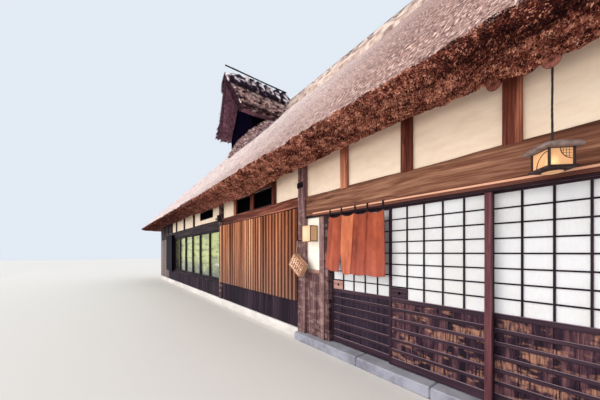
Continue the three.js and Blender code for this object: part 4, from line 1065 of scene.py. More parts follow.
def eave_tips(turn, half_along, half_out, x_low, x_high, count, seed):
    """Spikes at random places over one side's cut and lip, between two distances along the
    eave: pushed out as the shell under them is, and lifted with the fringe."""
    rng = np.random.default_rng(seed)
    x = rng.uniform(x_low, x_high, count)
    out = 0.37 + 0.515 * rng.uniform(0, 1, count) ** 0.8
    lip = rng.uniform(0, 1.1, count) * (rng.uniform(0, 1, count) < 0.36)
    height = EAVE_UNDER_Z + 0.062 * lip
    out = np.where(lip > 0, np.interp(height, LIP_Z, LIP_OUT), out)
    radius = np.maximum(CORNER_RADIUS - (EAVE_OUT - out), 0.3)
    over = np.clip(np.abs(x) - (half_along + out - radius), 0, radius * 0.999)
    inset = radius - np.sqrt(radius ** 2 - over ** 2)
    keep = over < radius * 0.72
    places = np.stack([x, -(half_out + out) + inset, height], -1)
    lean = np.stack([rng.normal(0, 0.22, count) + 0.5 * np.sign(x) * over / radius,
                     -0.35 - 0.3 * (out > TURN_OVER) + rng.normal(0, 0.2, count),
                     -0.75 + 0.35 * (out > TURN_OVER) + rng.normal(0, 0.12, count)], -1)
    length = rng.uniform(0.008, 0.024, count) * np.where(out > TURN_OVER, 0.7, 1.0)
    thick = rng.uniform(0.003, 0.0068, count)
    rotate = np.array([[np.cos(turn), np.sin(turn), 0], [-np.sin(turn), np.cos(turn), 0], [0, 0, 1]])
    places = places @ rotate
    clumps = 0.5 * lumps(places, 27.0, seed + 50) + 0.3 * lumps(places, 11.0, seed + 51)
    shaded = 0.25 * (out > 0.7) * climb(x, 5.9, 0.45) + 0.44 * climb(places[:, 0], 3.2, -5.0) * (turn == 0)
    tone = np.clip(0.42 + clumps + rng.normal(0, 0.3, count) - shaded, 0, 1)
    bulge = 0.02 * lumps(places, 5.0, 12) + 0.012 * lumps(places, 14.0, 13) + 0.012 * lumps(places, 0.9, 5)
    bristle = np.where(lip > 0.75, bulge, cut_bristle(places))
    push_out, push_up = (np.interp(height, LIP_Z, LIP_PUSH[:, axis]) for axis in (0, 1))
    places = places + np.array([0.0, -1.0, 0.0]) @ rotate * (bristle * push_out)[:, None]
    places[:, 2] += bristle * push_up
    places[:, 2] += climb(out, 0.56, -0.2) * fringe_lift(places[:, 0], turn == 0)
    return reed_tips(places[keep], lean[keep] @ rotate, length[keep], thick[keep], tone[keep], rng)


reed_ends = tip_paint("reed_ends", (40, 14, 18), (156, 84, 66), (255, 196, 166))
for name, turn, half, x_low, x_high, count, seed in (
        ("front_eave_near", 0.0, LONG_SIDE, 5.4, 10.0, 38000, 101),
        ("front_eave_middle", 0.0, LONG_SIDE, 2.2, 5.4, 36000, 106),
        ("front_eave_far", 0.0, LONG_SIDE, -10.0, 2.2, 30000, 102),
        ("right_eave", math.pi / 2, SHORT_SIDE, -5.2, 5.2, 12000, 103),
        ("back_eave", math.pi, LONG_SIDE, -10.0, 10.0, 14000, 104),
        ("left_eave", -math.pi / 2, SHORT_SIDE, -5.2, 5.2, 9000, 105)):
    piece(name, [eave_tips(turn, *half, x_low, x_high, count, seed)], reed_ends, "thatch")


# Ridge: straw rolls and cedar bark laid over the meeting of the slopes, tied down by pairs of
# crossed sticks, with a long dark pole lashed along the crest.
def bark_paint(name, dark, middle, light):
    """Weathered bark and old straw: torn strips running down both sides, darker where the tone is low, which at the
    ties is painted shade.
    """
    made, tree, place = fresh(name)
    grain, tone = carried(tree)
    strips = drawn_noise(tree, grain, (24.0, 24.0, 8.0), 4.0, 0.6)
    value = calc(tree, "ADD", weigh(tree, strips, 0.6, noise(tree, place, 6.0, 5.0, 0.65), 0.4), tone)
    colour = ramp(tree, value, [(0.3, dark), (0.48, middle), (0.66, light)])
    return finish_paint(made, colour, 0.92, [(strips, 0.015)], specular=0.12)


def rounded(outline, steps):
    """Points spaced evenly round a closed outline of straight stretches."""
    closed = np.array(outline + outline[:1], float)
    lengths = run_along(closed)
    where = np.linspace(0, lengths[-1], steps, endpoint=False)
    return np.stack([np.interp(where, lengths, closed[:, axis]) for axis in (0, 1)], -1)


DROOP_FROM, DROOP_SPAN = 8.3, 0.47


def cap_tube(outline, ends, pitch, seed, steps, spacing, pinch, wild=1.0, droop=0.0, across_x=None):
    """A cover of rolls: the outline carried along the crest, drawn in by a bell curve about each
    tie, torn by random waves, with its crest drooping at the first end. The ties are painted
    darker, as shade in the pinched creases, and a wild cover gets painted shade along its low
    edge under DROOP_FROM. It runs along X, or along Y where across_x places its middle."""
    section = rounded(outline, steps)
    middle = section.mean(0)
    run = np.linspace(ends[0], ends[1], int((ends[1] - ends[0]) / spacing))
    rng = np.random.default_rng(seed)
    ties = np.arange(ends[0] + pitch / 2, ends[1], pitch)
    ties = ties + rng.uniform(-0.32, 0.32, len(ties)) * pitch * min(wild - 0.6, 1.0)
    wander = 0.05 * wild * lumps(stack(run[:, None], section[:, 0], section[:, 1]), 3.0, seed + 3)
    from_tie = np.abs(run[:, None, None] + wander[..., None] - ties)
    nearest = from_tie.argmin(-1)
    tie = np.exp(-(from_tie.min(-1) / 0.055) ** 2) * rng.uniform(0.4, 1.0, len(ties))[nearest]
    shrink = 1.0 - pinch * tie
    shrink[[0, -1]] = 0.86
    flat = middle + (section - middle)[None] * shrink[..., None]
    across, up = flat[..., 0], flat[..., 1]
    along = np.broadcast_to(run[:, None], across.shape)
    up = up - droop * np.clip((ends[0] + 1.0 - along), 0, 1) * climb(up, DROOP_FROM, DROOP_SPAN)
    away = stack(0.0, across - middle[0], up - middle[1])
    if across_x is None:
        points = np.stack([along, across, up], -1)
    else:
        points, away = np.stack([across_x + across, along, up], -1), away[..., [1, 0, 2]]
    torn = wild * (0.02 * lumps(points, 5.0, seed) + 0.012 * lumps(points, 14.0, seed + 1)) - 0.022
    points = points + unit(away) * torn[..., None]
    shade = climb(points[..., 2], DROOP_FROM, -0.2) * (wild > 1.5)
    shade = shade * np.clip(0.25 + 2.0 * lumps(points, 3.0, seed + 4), 0, 1)
    tone = -0.2 * wild * tie + 0.24 * wild * lumps(points, 6.0, seed + 2) - 0.3 * shade
    return tube(points, stack(along, 0.0, run_along(section)), tone)


def pole(start, end, radius, seed, sides=10, steps=40, sag=0.01):
    """A round stick between two points: circles along the line, swaying by slow sine waves and
    swelling at random knots, with domed ends."""
    start, end = np.array(start, float), np.array(end, float)
    rng = np.random.default_rng(seed)
    share = np.concatenate([[0.0, 0.0], np.linspace(0.004, 0.996, steps), [1.0, 1.0]])
    size = np.concatenate([[0.02, 0.7], 1 + 0.12 * rng.uniform(-1, 1, steps), [0.7, 0.02]])
    length = np.linalg.norm(end - start)
    line = (end - start) / length
    side = np.cross(line, [0, 0, 1.0])
    side = unit(side) if np.linalg.norm(side) > 1e-3 else np.array([1.0, 0, 0])
    other = np.cross(line, side)
    phase = rng.uniform(0, 6.28, 4)
    sway_a = sag * (np.sin(5 * share + phase[0]) + 0.5 * np.sin(13 * share + phase[1]))
    sway_b = sag * (np.sin(6 * share + phase[2]) + 0.5 * np.sin(11 * share + phase[3]))
    turn = around(sides)
    ring = np.cos(turn)[:, None] * side + np.sin(turn)[:, None] * other
    middle = start + share[:, None] * (end - start) + sway_a[:, None] * side + sway_b[:, None] * other
    points = middle[:, None] + radius * size[:, None, None] * ring[None]
    grain = stack(radius * np.cos(turn), radius * np.sin(turn), (share * length)[:, None]) + rng.uniform(0, 40, 3)
    return tube(points[:, ::-1], grain[:, ::-1], rng.uniform(-0.08, 0.08))


ridge_bark = bark_paint("ridge_bark", (34, 22, 36), (130, 112, 118), (238, 224, 222))
ridge_straw = bark_paint("ridge_straw", (132, 106, 98), (188, 164, 152), (214, 196, 184))
pole_wood = wood_paint("pole_wood", (26, 20, 24), (52, 42, 46), (92, 78, 78), along=1.0, across=24.0)
CREST_Z = 8.435
CREST_END = 4.885
ridge_outline = [(-0.62, 7.4), (-0.62, 7.7), (-0.31, 8.14), (-0.1, CREST_Z), (0.1, CREST_Z), (0.31, 8.14),
                 (0.62, 7.7), (0.62, 7.4)]
piece("ridge_cover", [cap_tube(ridge_outline, (-CREST_END, CREST_END), 0.9, 201, 64, 0.05, 0.03)], ridge_straw,
      "thatch", smooth=True, replaces=["ridge_cap"])
sticks = []
for number, x in enumerate(np.arange(-4.5, 4.6, 0.9)):
    sign = 1 if number % 2 else -1
    sticks.append(pole((x + 0.05, -0.36, 8.12), (x - 0.1 * sign, 0.12, 8.53), 0.011, 210 + number, 6, 10, 0.004))
piece("ridge_sticks", sticks, pole_wood, "dark_timber", smooth=True)
pole_low, pole_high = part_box("ridge_pole")
pole_z = (pole_low.z + pole_high.z) / 2
piece("crest_pole", [pole((pole_low.x + 0.01, 0, pole_z), (pole_high.x - 0.01, 0, pole_z), 0.034, 231, 12, 90,
                          0.004)], pole_wood, "dark_timber", smooth=True, replaces=["ridge_pole"])


# Smoke gable: two steep thatch wings leaning forward over a dark boarded wall set well back,
# with its own cover of bark rolls, a pole along its crest, and loose reed about its near foot.
GABLE_X = -2.9
FAR_FOOT, NEAR_FOOT = (-1.43, 6.44), (1.24, 6.65)
WING = 0.34
GABLE_PEAK_Z, GABLE_INNER_PEAK = 8.46, 8.07
GABLE_BASE_Z = 6.44
GABLE_FRONT = (-2.89, -3.11)
WING_STEPS = 46
FACE_ROWS = 10
rise = np.linspace(0, 1, WING_STEPS)


def wing_line(foot_x, foot_z, peak_z):
    """A straight edge of a wing from its foot up to the crest."""
    return np.stack([foot_x * (1 - rise), foot_z + (peak_z - foot_z) * rise], -1)


def gable_front_y(lean_share):
    """Where the gable's face stands at a share of its height: it leans forward."""
    return GABLE_FRONT[0] + lean_share * (GABLE_FRONT[1] - GABLE_FRONT[0])


near_outer, far_outer = (wing_line(*foot, GABLE_PEAK_Z) for foot in (NEAR_FOOT, FAR_FOOT))
near_inner = wing_line(NEAR_FOOT[0] - WING, NEAR_FOOT[1], GABLE_INNER_PEAK)
far_inner = wing_line(FAR_FOOT[0] + WING, FAR_FOOT[1], GABLE_INNER_PEAK)
section = np.concatenate([near_outer[:-1], far_outer[::-1], far_inner[:-1], near_inner[::-1]])
near_middle, far_middle = (near_outer + near_inner) / 2, (far_outer + far_inner) / 2
middle = np.concatenate([near_middle[:-1], far_middle[::-1], far_middle[:-1], near_middle[::-1]])
open_share = np.concatenate([[0.0, 0.35, 0.7, 0.93, 1.0], np.ones(44), [0.8, 0.3, 0.0]])
forward = np.concatenate([[0.0, 0.002, 0.008, 0.03, 0.07], np.linspace(0.12, 1, 44) * 2.7, [2.7, 2.7, 2.7]])
flat = middle[None] + (section - middle)[None] * open_share[:, None, None]
front_y = gable_front_y(climb(flat[..., 1], GABLE_BASE_Z, GABLE_PEAK_Z - GABLE_BASE_Z))
points = np.stack([GABLE_X + flat[..., 0], front_y + forward[:, None], flat[..., 1]], -1)
away = stack((section - middle)[:, 0], 0.0, (section - middle)[:, 1])
away = away / (np.linalg.norm(away, axis=-1, keepdims=True) + 1e-9)
is_outer = np.arange(len(section)) < 2 * WING_STEPS - 1
shaggy = 0.045 * lumps(points, 3.5, 301) + 0.03 * lumps(points, 9.0, 302) + 0.02 * lumps(points, 22.0, 303) - 0.02
from_foot = np.concatenate([rise[:-1], rise[::-1], rise[:-1], rise[::-1]])
foot_edge = 0.16 + 0.05 * lumps(points, 5.0, 305) + 0.04 * lumps(points, 15.0, 306)
foot_band = climb(foot_edge - from_foot, 0.0, 0.03)
points = points + away[None] * ((shaggy - 0.03 * foot_band) * open_share[:, None])[..., None]
front_rows = ((open_share < 0.99) & (np.arange(len(open_share)) < FACE_ROWS))[:, None]
points[..., 1] += np.where(front_rows, 0.02 + 0.02 * lumps(points, 9.0, 304), 0)
grain = stack(points[..., 1], 0.0, run_along(section))
# Painted shade: a band just below the cover's foot on the wings' outer sides takes the dark cut tone.
shade_under_cover = np.exp(-((from_foot[None] - 0.6 + 0.05 * lumps(points, 4.0, 307)) / 0.05) ** 4)
tone = np.where(front_rows | ~is_outer[None], 1.0, np.maximum(foot_band, shade_under_cover))
gable_reed = reed_paint("gable_reed", ((124, 94, 92), (182, 150, 140), (222, 196, 180)),
                        ((38, 18, 34), (86, 50, 64), (156, 116, 130)), (64, 40, 48), (250, 240, 226), True, 14.0)
piece("gable_wings", [tube(points, grain, tone, caps=False)], gable_reed, "thatch", smooth=True,
      replaces=["dormer_thatch"])
# The gable wall set back inside the opening is painted near-black: painted shade of the deep opening.
dress("dormer_wall", plaster_paint("gable_painted_shade", (9, 6, 20), (4, 3, 12), -1.0, (6, 5, 10), 0.0, 0.0))

cover_outline = [(-0.46, 7.9), (-0.09, 8.43), (0.09, 8.43), (0.46, 7.9), (0.49, 8.03), (0.07, 8.72), (0.035, 8.77),
                 (-0.035, 8.77), (-0.07, 8.72), (-0.49, 8.03)]
piece("gable_cover", [cap_tube(cover_outline, (-3.13, -0.1), 0.3, 321, 72, 0.026, 0.2, 2.0, 0.2, GABLE_X)],
      ridge_bark, "ridge_bark", smooth=True, replaces=["dormer_cap"])
gable_low, gable_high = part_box("dormer_pole")
gable_pole_z = (gable_low.z + gable_high.z) / 2 - 0.002
piece("gable_pole", [pole((GABLE_X, gable_low.y + 0.01, gable_pole_z), (GABLE_X, gable_high.y - 0.01, gable_pole_z),
                          0.028, 331, 12, 40, 0.003)],
      pole_wood, "dark_timber", smooth=True, replaces=["dormer_pole"])

# The verge: clipped ends all over the face of both wings.
VERGE_REEDS = 9000
rng = np.random.default_rng(340)
step = rng.uniform(0, 1, VERGE_REEDS) * (WING_STEPS - 1)
deep = rng.uniform(0.04, 0.96, VERGE_REEDS)[:, None]
near = (rng.uniform(0, 1, VERGE_REEDS) < 0.5)[:, None]
cell = np.minimum(step.astype(int), WING_STEPS - 2)
part = (step - cell)[:, None]
outer_at, inner_at = (np.where(near, near_line[cell] * (1 - part) + near_line[cell + 1] * part,
                               far_line[cell] * (1 - part) + far_line[cell + 1] * part)
                      for near_line, far_line in ((near_outer, far_outer), (near_inner, far_inner)))
x, z = (outer_at * (1 - deep) + inner_at * deep).T
y = gable_front_y((z - GABLE_BASE_Z) / (GABLE_PEAK_Z - GABLE_BASE_Z)) + 0.03
side_sign = np.where(near[:, 0], 1.0, -1.0)
lean = np.stack([0.5 * side_sign + rng.normal(0, 0.2, VERGE_REEDS), -0.55 + rng.normal(0, 0.2, VERGE_REEDS),
                 -0.9 + rng.normal(0, 0.2, VERGE_REEDS)], -1)
verge = reed_tips(np.stack([GABLE_X + x, y, z], -1), lean, rng.uniform(0.03, 0.1, VERGE_REEDS),
                  rng.uniform(0.005, 0.009, VERGE_REEDS), np.clip(rng.normal(0.4, 0.2, VERGE_REEDS), 0, 1), rng)

# The shag: broken stems that stand out of the wings' outer sides below the cover.
SHAG_REEDS = 9000
up = rng.uniform(0.0, 0.62, SHAG_REEDS)
side_sign = np.where(rng.uniform(0, 1, SHAG_REEDS) < 0.6, 1.0, -1.0)
foot_x, foot_z = (np.where(side_sign > 0, NEAR_FOOT[axis], abs(FAR_FOOT[axis])) for axis in (0, 1))
x = side_sign * foot_x * (1 - up)
z = foot_z + (GABLE_PEAK_Z - foot_z) * up
y = rng.uniform(-2.95, -0.7, SHAG_REEDS)
lean = np.stack([side_sign * rng.normal(1.0, 0.2, SHAG_REEDS), rng.normal(0, 0.25, SHAG_REEDS),
                 rng.normal(-0.15, 0.25, SHAG_REEDS)], -1)
# Tufts near the gable's front, y below -2.84, are toned darker: painted shade where the front edge meets the wings.
tuft = 0.6 + 1.2 * lumps(np.stack([x, y, z], -1), 11.0, 342) + rng.normal(0, 0.2, SHAG_REEDS) - 0.5 * (y < -2.84)
dark_foot = 0.7 * (up < 0.16 + 0.04 * rng.uniform(-1, 1, SHAG_REEDS))
shag = reed_tips(np.stack([GABLE_X + x, y, z], -1), lean, rng.uniform(0.07, 0.17, SHAG_REEDS),
                 rng.uniform(0.018, 0.04, SHAG_REEDS), np.clip(tuft - dark_foot, 0, 1), rng)
straw_ends = tip_paint("straw_ends", (66, 38, 50), (172, 138, 134), (246, 222, 214))
piece("gable_shag", [shag], straw_ends, "thatch")

# The bank: a roll of loose reed that lies on the slope and bends up round the near wing's foot.
BANK_SHARE = (0, 0.45, 0.72, 0.86, 1)
BANK_HALF = 0.24
bank_run = np.linspace(0, 1, 101)
bank_x = np.interp(bank_run, BANK_SHARE, (-3.8, -2.7, -2.0, -1.7, -1.48))
bank_y = np.interp(bank_run, BANK_SHARE, (-2.45, -2.42, -2.2, -2.0, -1.75))
bank_high = np.interp(bank_run, (0, 0.12, 0.45, 0.75, 0.9, 1), (0.04, 0.1, 0.24, 0.25, 0.2, 0.06))
slope_length = math.hypot(1, THATCH_PITCH)
uphill, outward = np.array([0, 1, THATCH_PITCH]) / slope_length, np.array([0, -THATCH_PITCH, 1]) / slope_length
heading = unit(np.stack([np.gradient(bank_x), np.gradient(bank_y) * slope_length], -1))
bank_side = heading[:, :1] * uphill - heading[:, 1:] * np.array([1.0, 0, 0])
bank_turn = around(24)
bank = np.stack([bank_x, bank_y, EAVE_TIP_Z + THATCH_PITCH * (EAVE_OUT + HALF_DEPTH + bank_y)], -1)[:, None]
bank = bank + BANK_HALF * np.cos(bank_turn)[:, None] * bank_side[:, None]
bank = bank + (bank_high[:, None] * np.sin(bank_turn))[..., None] * outward
bank[..., 1:] += 0.03 * np.stack([lumps(bank, 5.0, 351), lumps(bank, 9.0, 352)], -1)
# The bank's straw is painted grey-lilac and dark: painted shade of the slope below the gable.
bank_straw_painted_shade = bark_paint("bank_straw_painted_shade", (62, 48, 60), (128, 108, 116), (206, 188, 184))
piece("gable_bank", [tube(bank, bank, 0.0)], bank_straw_painted_shade, "thatch", smooth=True)
TUFT_REEDS = 2500
places = bank[rng.integers(3, 97, TUFT_REEDS), rng.integers(1, 12, TUFT_REEDS)]
places = places + rng.normal(0, 0.012, (TUFT_REEDS, 3))
lean = outward - 0.8 * uphill + rng.normal(0, 0.4, (TUFT_REEDS, 3))
tufts = reed_tips(places, lean, rng.uniform(0.04, 0.09, TUFT_REEDS), rng.uniform(0.014, 0.026, TUFT_REEDS),
                  np.clip(0.45 + rng.normal(0, 0.3, TUFT_REEDS), 0, 1), rng)
piece("gable_bank_tufts", [tufts], straw_ends, "thatch")
piece("gable_verge", [verge], tip_paint("gable_tips", (44, 26, 40), (92, 60, 74), (160, 124, 130)), "thatch")


# Rafter ends: round pine poles whose sawn butts come through the underside of the thatch above
# the second pair of doors, parallel to its slope. The hanging lantern is tied to the larger.
def log_paint(name, end_dark, end_light, bark):
    """A sawn log: rings round the heart on the cut, darker at the heart and the rim, where tone
    is 1, and rough bark on the round, where tone is 0."""
    made, tree = fresh(name)[:2]
    grain, tone = carried(tree)
    across = add(tree, "VectorMath", {0: grain, 1: (1.0, 1.0, 0.0)}, operation="MULTIPLY")
    radius = add(tree, "VectorMath", {0: across}, 1, operation="LENGTH")
    drift = noise(tree, across, 30.0, 4.0, 0.6)
    rings = calc(tree, "SINE", weigh(tree, drift, 5.0, radius, 900.0))
    value = calc(tree, "ADD", weigh(tree, rings, 0.12, drift, 0.8), remap(tree, radius, 0.0, 0.022, -0.3, 0.0))
    value = calc(tree, "ADD", value, remap(tree, radius, 0.045, 0.06, 0.0, -0.15))
    cut = ramp(tree, value, [(0.2, end_dark), (0.55, end_light)])
    rough_bark = drawn_noise(tree, grain, (40.0, 40.0, 8.0), 5.0, 0.7)
    round_side = ramp(tree, rough_bark, [(0.35, 0.5 * np.array(bark)), (0.65, bark)])
    return finish_paint(made, blend(tree, tone, round_side, cut), 0.85, [(rough_bark, 0.003)], specular=0.15)


log_wood = log_paint("log_wood", (84, 40, 36), (188, 122, 106), (96, 58, 50))
dark_log_wood = log_paint("dark_log_wood", (68, 32, 30), (146, 84, 68), (70, 40, 36))
RAFTER_Y = -4.672
RAFTER_LENGTH = 0.395
rafter_turn = math.atan(THATCH_PITCH)
rafter_way = np.array([0.0, math.cos(rafter_turn), math.sin(rafter_turn)])
rafter_up = np.array([0.0, -math.sin(rafter_turn), math.cos(rafter_turn)])
LOG_SIZE = np.array([0.0, 0.3, 0.62, 0.9, 0.985, 1.0, 1.0, 1.0, 1.0, 0.9])
LOG_RUN = np.array([0.0, 0.0, 0.0003, 0.0012, 0.004, 0.01, 0.12, 0.24, 0.36, RAFTER_LENGTH])[:, None]
for node, name, log_x, log_radius, log_z, paint in (
        ("eave_log", "log_end", 6.638, 0.05, 2.648, log_wood),
        ("eave_log_left", "log_end_left", 6.33, 0.048, 2.65, dark_log_wood)):
    turn = around(32)
    wobble = 0.975 + 0.02 * np.sin(3 * turn + 1.0) + 0.005 * np.sin(7 * turn)
    reach = LOG_SIZE[:, None] * wobble[None] * log_radius
    side_at, up_at = reach * np.cos(turn), reach * np.sin(turn)
    points = (np.array([log_x, RAFTER_Y, log_z]) + side_at[..., None] * np.array([1.0, 0, 0])
              + up_at[..., None] * rafter_up + LOG_RUN[..., None] * rafter_way)
    tone = np.broadcast_to((LOG_RUN < 0.003).astype(float), side_at.shape)
    piece(name, [tube(points[:, ::-1], stack(side_at, up_at, LOG_RUN)[:, ::-1], tone)], paint, "timber",
          smooth=True, replaces=[node])


# Hanging lantern: an iron wire from the rafter end, a thick square roof of grey metal with curled
# corners, and under it a square box of oiled paper in dark posts, on a board with a round opening.
LAMP_X, LAMP_Y = 6.638, -4.6284
LAMP_HALF = 0.076
ROOF_HALF = 0.112
ROOF_FOOT, ROOF_EDGE, ROOF_CROWN = 2.078, 2.106, 2.134
PANE_LOW, PANE_HIGH = 1.966, 2.079
WIRE_TOP = 2.624


def at_lamp(part, quarters=None):
    """A part made about the lantern's wire, moved to its place, and before that turned by an
    eighth of a turn and any quarters given, as the square box hangs."""
    rotate = np.eye(3)
    if quarters is not None:
        angle = quarters * math.pi / 2 + math.pi / 4
        rotate[:2, :2] = [[math.cos(angle), math.sin(angle)], [-math.sin(angle), math.cos(angle)]]
    return (part[0] @ rotate + np.array([LAMP_X, LAMP_Y, 0.0]),) + part[1:]


def metal_paint(name, base, worn):
    """Old sheet metal or iron: dull, cloudy, paler where it is rubbed, with a fine grain in its face."""
    made, tree, place = fresh(name)
    cloud = noise(tree, place, 14.0, 5.0, 0.65)
    colour = ramp(tree, cloud, [(0.35, base), (0.65, worn)])
    return finish_paint(made, colour, remap(tree, cloud, 0.0, 1.0, 0.8, 0.55),
                        [(noise(tree, place, 120.0, 3.0, 0.6), 0.0006)], metal=0.1, specular=0.5)


def pane_paint(name, base, painted_glow, centre, reach, strength):
    """Oiled paper with painted light: amber, blended to a painted glow about a centre that stands for daylight
    through it, and glowing by emission though it is no lamp, with fibres.
    """
    made, tree, place = fresh(name)
    fibre = noise(tree, place, 60.0, 5.0, 0.65)
    moved = add(tree, "Mapping", {"Vector": place, "Location": tuple(-c for c in centre)})
    away = add(tree, "VectorMath", {0: moved}, 1, operation="LENGTH")
    share = remap(tree, calc(tree, "MULTIPLY_ADD", fibre, 0.04, away), 0.02, reach, 1.0, 0.0)
    colour = blend(tree, share, base, painted_glow)
    return finish_paint(made, colour, 0.6, [(fibre, 0.0005)], specular=0.3,
                        **{"Emission Color": colour, "Emission Strength": strength})


# Its roof: a square sheet of 25 by 25 points, domed, with a rounded rim and drooping corners.
side = 25
u, v = np.meshgrid(np.linspace(-1, 1, side), np.linspace(-1, 1, side), indexing="ij")
corner = (u * v) ** 6
edge = np.maximum(abs(u), abs(v)) ** 14
plan_x, plan_y = u * ROOF_HALF * (1 - 0.05 * corner), v * ROOF_HALF * (1 - 0.05 * corner)
top = ROOF_EDGE + (ROOF_CROWN - ROOF_EDGE) * (1 - u ** 2) * (1 - v ** 2) - 0.006 * edge - 0.006 * corner
bottom = ROOF_FOOT + 0.004 * edge * (1 - corner)
upper, under = (np.stack([plan_x * (1 - 0.03 * edge), plan_y * (1 - 0.03 * edge), z], -1) for z in (top, bottom))
number = np.arange(side * side).reshape(side, side)
cell = np.stack([number[:-1, :-1], number[1:, :-1], number[1:, 1:], number[:-1, 1:]], -1).reshape(-1, 4)
rim = np.concatenate([number[:, 0], number[-1, 1:], number[-2::-1, -1], number[0, -2:0:-1]])
middle_rim = 2 * side * side + np.arange(len(rim))
rim_points = np.stack([plan_x, plan_y, (top + bottom) / 2], -1).reshape(-1, 3)[rim]
upper_band = np.stack([middle_rim, np.roll(middle_rim, -1), np.roll(rim, -1), rim], -1)
lower_band = np.stack([rim + side * side, np.roll(rim, -1) + side * side, np.roll(middle_rim, -1), middle_rim], -1)
roof_points = np.concatenate([upper.reshape(-1, 3), under.reshape(-1, 3), rim_points])
roof = (roof_points, [cell, cell[:, ::-1] + side * side, upper_band, lower_band], roof_points,
        np.zeros(len(roof_points)))
grey_metal = metal_paint("lantern_roof_metal", (98, 80, 78), (158, 136, 128))
black_iron = metal_paint("black_iron", (12, 10, 12), (36, 30, 32))
piece("lantern_slab", [at_lamp(roof, 0)], grey_metal, "lamp_metal", smooth=True, replaces=["lantern_roof"])
lamp_wire = pole((LAMP_X, LAMP_Y, ROOF_CROWN - 0.006), (LAMP_X, LAMP_Y, WIRE_TOP), 0.0058, 401, 8, 30, 0.0006)
knob = pole((LAMP_X, LAMP_Y, ROOF_CROWN - 0.01), (LAMP_X, LAMP_Y, ROOF_CROWN + 0.008), 0.012, 402, 12, 4, 0.0)
piece("lantern_wire", [lamp_wire, knob], black_iron, "lamp_metal", smooth=True)

# Its box: four posts, a board below, a head bar, an arc and, on the two upper-cornered faces, a
# small lattice inside the arc, then a round ring under the board.
POST_AT, POST_HALF_WIDE = LAMP_HALF - 0.006, 0.006
BOARD_HALF = 0.088
PANE_FACE = 0.006 - LAMP_HALF
PANE_HALF = LAMP_HALF - 0.0085
HEAD_HALF = LAMP_HALF - 0.012
ARC_X, ARC_HALF_WIDE, ARC_DEPTH, ROD_HALF = 0.06, 0.002, 0.004, 0.001
frame_parts = []
for x in (-POST_AT, POST_AT):
    for y in (-POST_AT, POST_AT):
        frame_parts.append(at_lamp(bar((x - POST_HALF_WIDE, y - POST_HALF_WIDE, PANE_LOW),
                                       (x + POST_HALF_WIDE, y + POST_HALF_WIDE, PANE_HIGH + 0.004), 0.0015), 0))
frame_parts.append(at_lamp(bar((-BOARD_HALF, -BOARD_HALF, PANE_LOW - 0.016), (BOARD_HALF, BOARD_HALF, PANE_LOW)), 0))
UPPER_ARC, LOWER_ARC = (PANE_HIGH - 0.004, -1, 0.066), (PANE_LOW + 0.004, 1, 0.092)
for face, (arc_z, way, radius) in enumerate((UPPER_ARC, UPPER_ARC, LOWER_ARC, LOWER_ARC)):
    frame_parts.append(at_lamp(bar((-HEAD_HALF, PANE_FACE, PANE_HIGH - 0.005),
                                   (HEAD_HALF, PANE_FACE + 0.006, PANE_HIGH + 0.002), 0.001), face))
    bent = np.linspace(0, math.pi / 2, 12)[:, None]
    reach = radius + np.array([1, 1, -1, -1]) * ARC_HALF_WIDE
    arc = stack(ARC_X - reach * np.cos(bent), PANE_FACE + np.array([0, ARC_DEPTH, ARC_DEPTH, 0]),
                arc_z + way * reach * np.sin(bent))[:, ::-way]
    frame_parts.append(at_lamp(tube(arc, arc, 0.0), face))
    for step in (0.016, 0.033, 0.05) if way < 0 else ():
        chord = math.sqrt(radius ** 2 - step ** 2)
        for low, high in (((ARC_X - step - ROD_HALF, arc_z - chord), (ARC_X - step + ROD_HALF, arc_z)),
                          ((ARC_X - chord, arc_z - step - ROD_HALF), (ARC_X, arc_z - step + ROD_HALF))):
            rod = bar((low[0], PANE_FACE + 0.001, low[1]), (high[0], PANE_FACE + ARC_DEPTH, high[1]), 0.0004)
            frame_parts.append(at_lamp(rod, face))
foot_turn = around(32)[:, None]
foot_reach = np.array([0.062, 0.063, 0.063, 0.061, 0.056, 0.053, 0.053, 0.056])
foot_z = PANE_LOW - 0.014 - np.array([0.0, 0.003, 0.009, 0.012, 0.012, 0.009, 0.003, 0.0])
foot = stack(foot_reach * np.cos(foot_turn), foot_reach * np.sin(foot_turn), foot_z)
foot = np.concatenate([foot, foot[:1]])
frame_parts.append(at_lamp(tube(foot, foot, 0.0, caps=False)))
piece("lantern_frame", frame_parts,
      wood_paint("lantern_frame_wood", (34, 22, 24), (60, 44, 44), (98, 80, 78), cracks=0.0), "timber")
# The hanging lantern's panes get a painted glow, paler about a spot in front, and glow by emission.
amber = pane_paint("amber_panes_painted_glow", (222, 168, 120), (255, 236, 170), (LAMP_X + 0.02, LAMP_Y - 0.09, 1.99), 0.07,
                   0.25)
disc_turn = around(28)
disc = np.stack([stack(0.0535 * np.cos(disc_turn), 0.0535 * np.sin(disc_turn), PANE_LOW - drop)
                 for drop in (0.015, 0.027)])
panes = bar((-PANE_HALF, -PANE_HALF, PANE_LOW), (PANE_HALF, PANE_HALF, PANE_HIGH), 0.001)
piece("lantern_panes", [at_lamp(panes, 0), at_lamp(tube(disc[::-1], disc, 0.0))], amber, "lamp_paper",
      replaces=["lantern_body"])


# Wall lantern: a paper box in a thin wooden frame on the narrow plaster panel, its long side
# framed darker, with bare paper.
lamp_low, lamp_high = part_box("wall_lantern")
left, right, front, back, foot, top = (lamp_low.x, lamp_high.x, lamp_low.y, lamp_high.y, lamp_low.z, lamp_high.z)
PAPER_INSET = 0.006
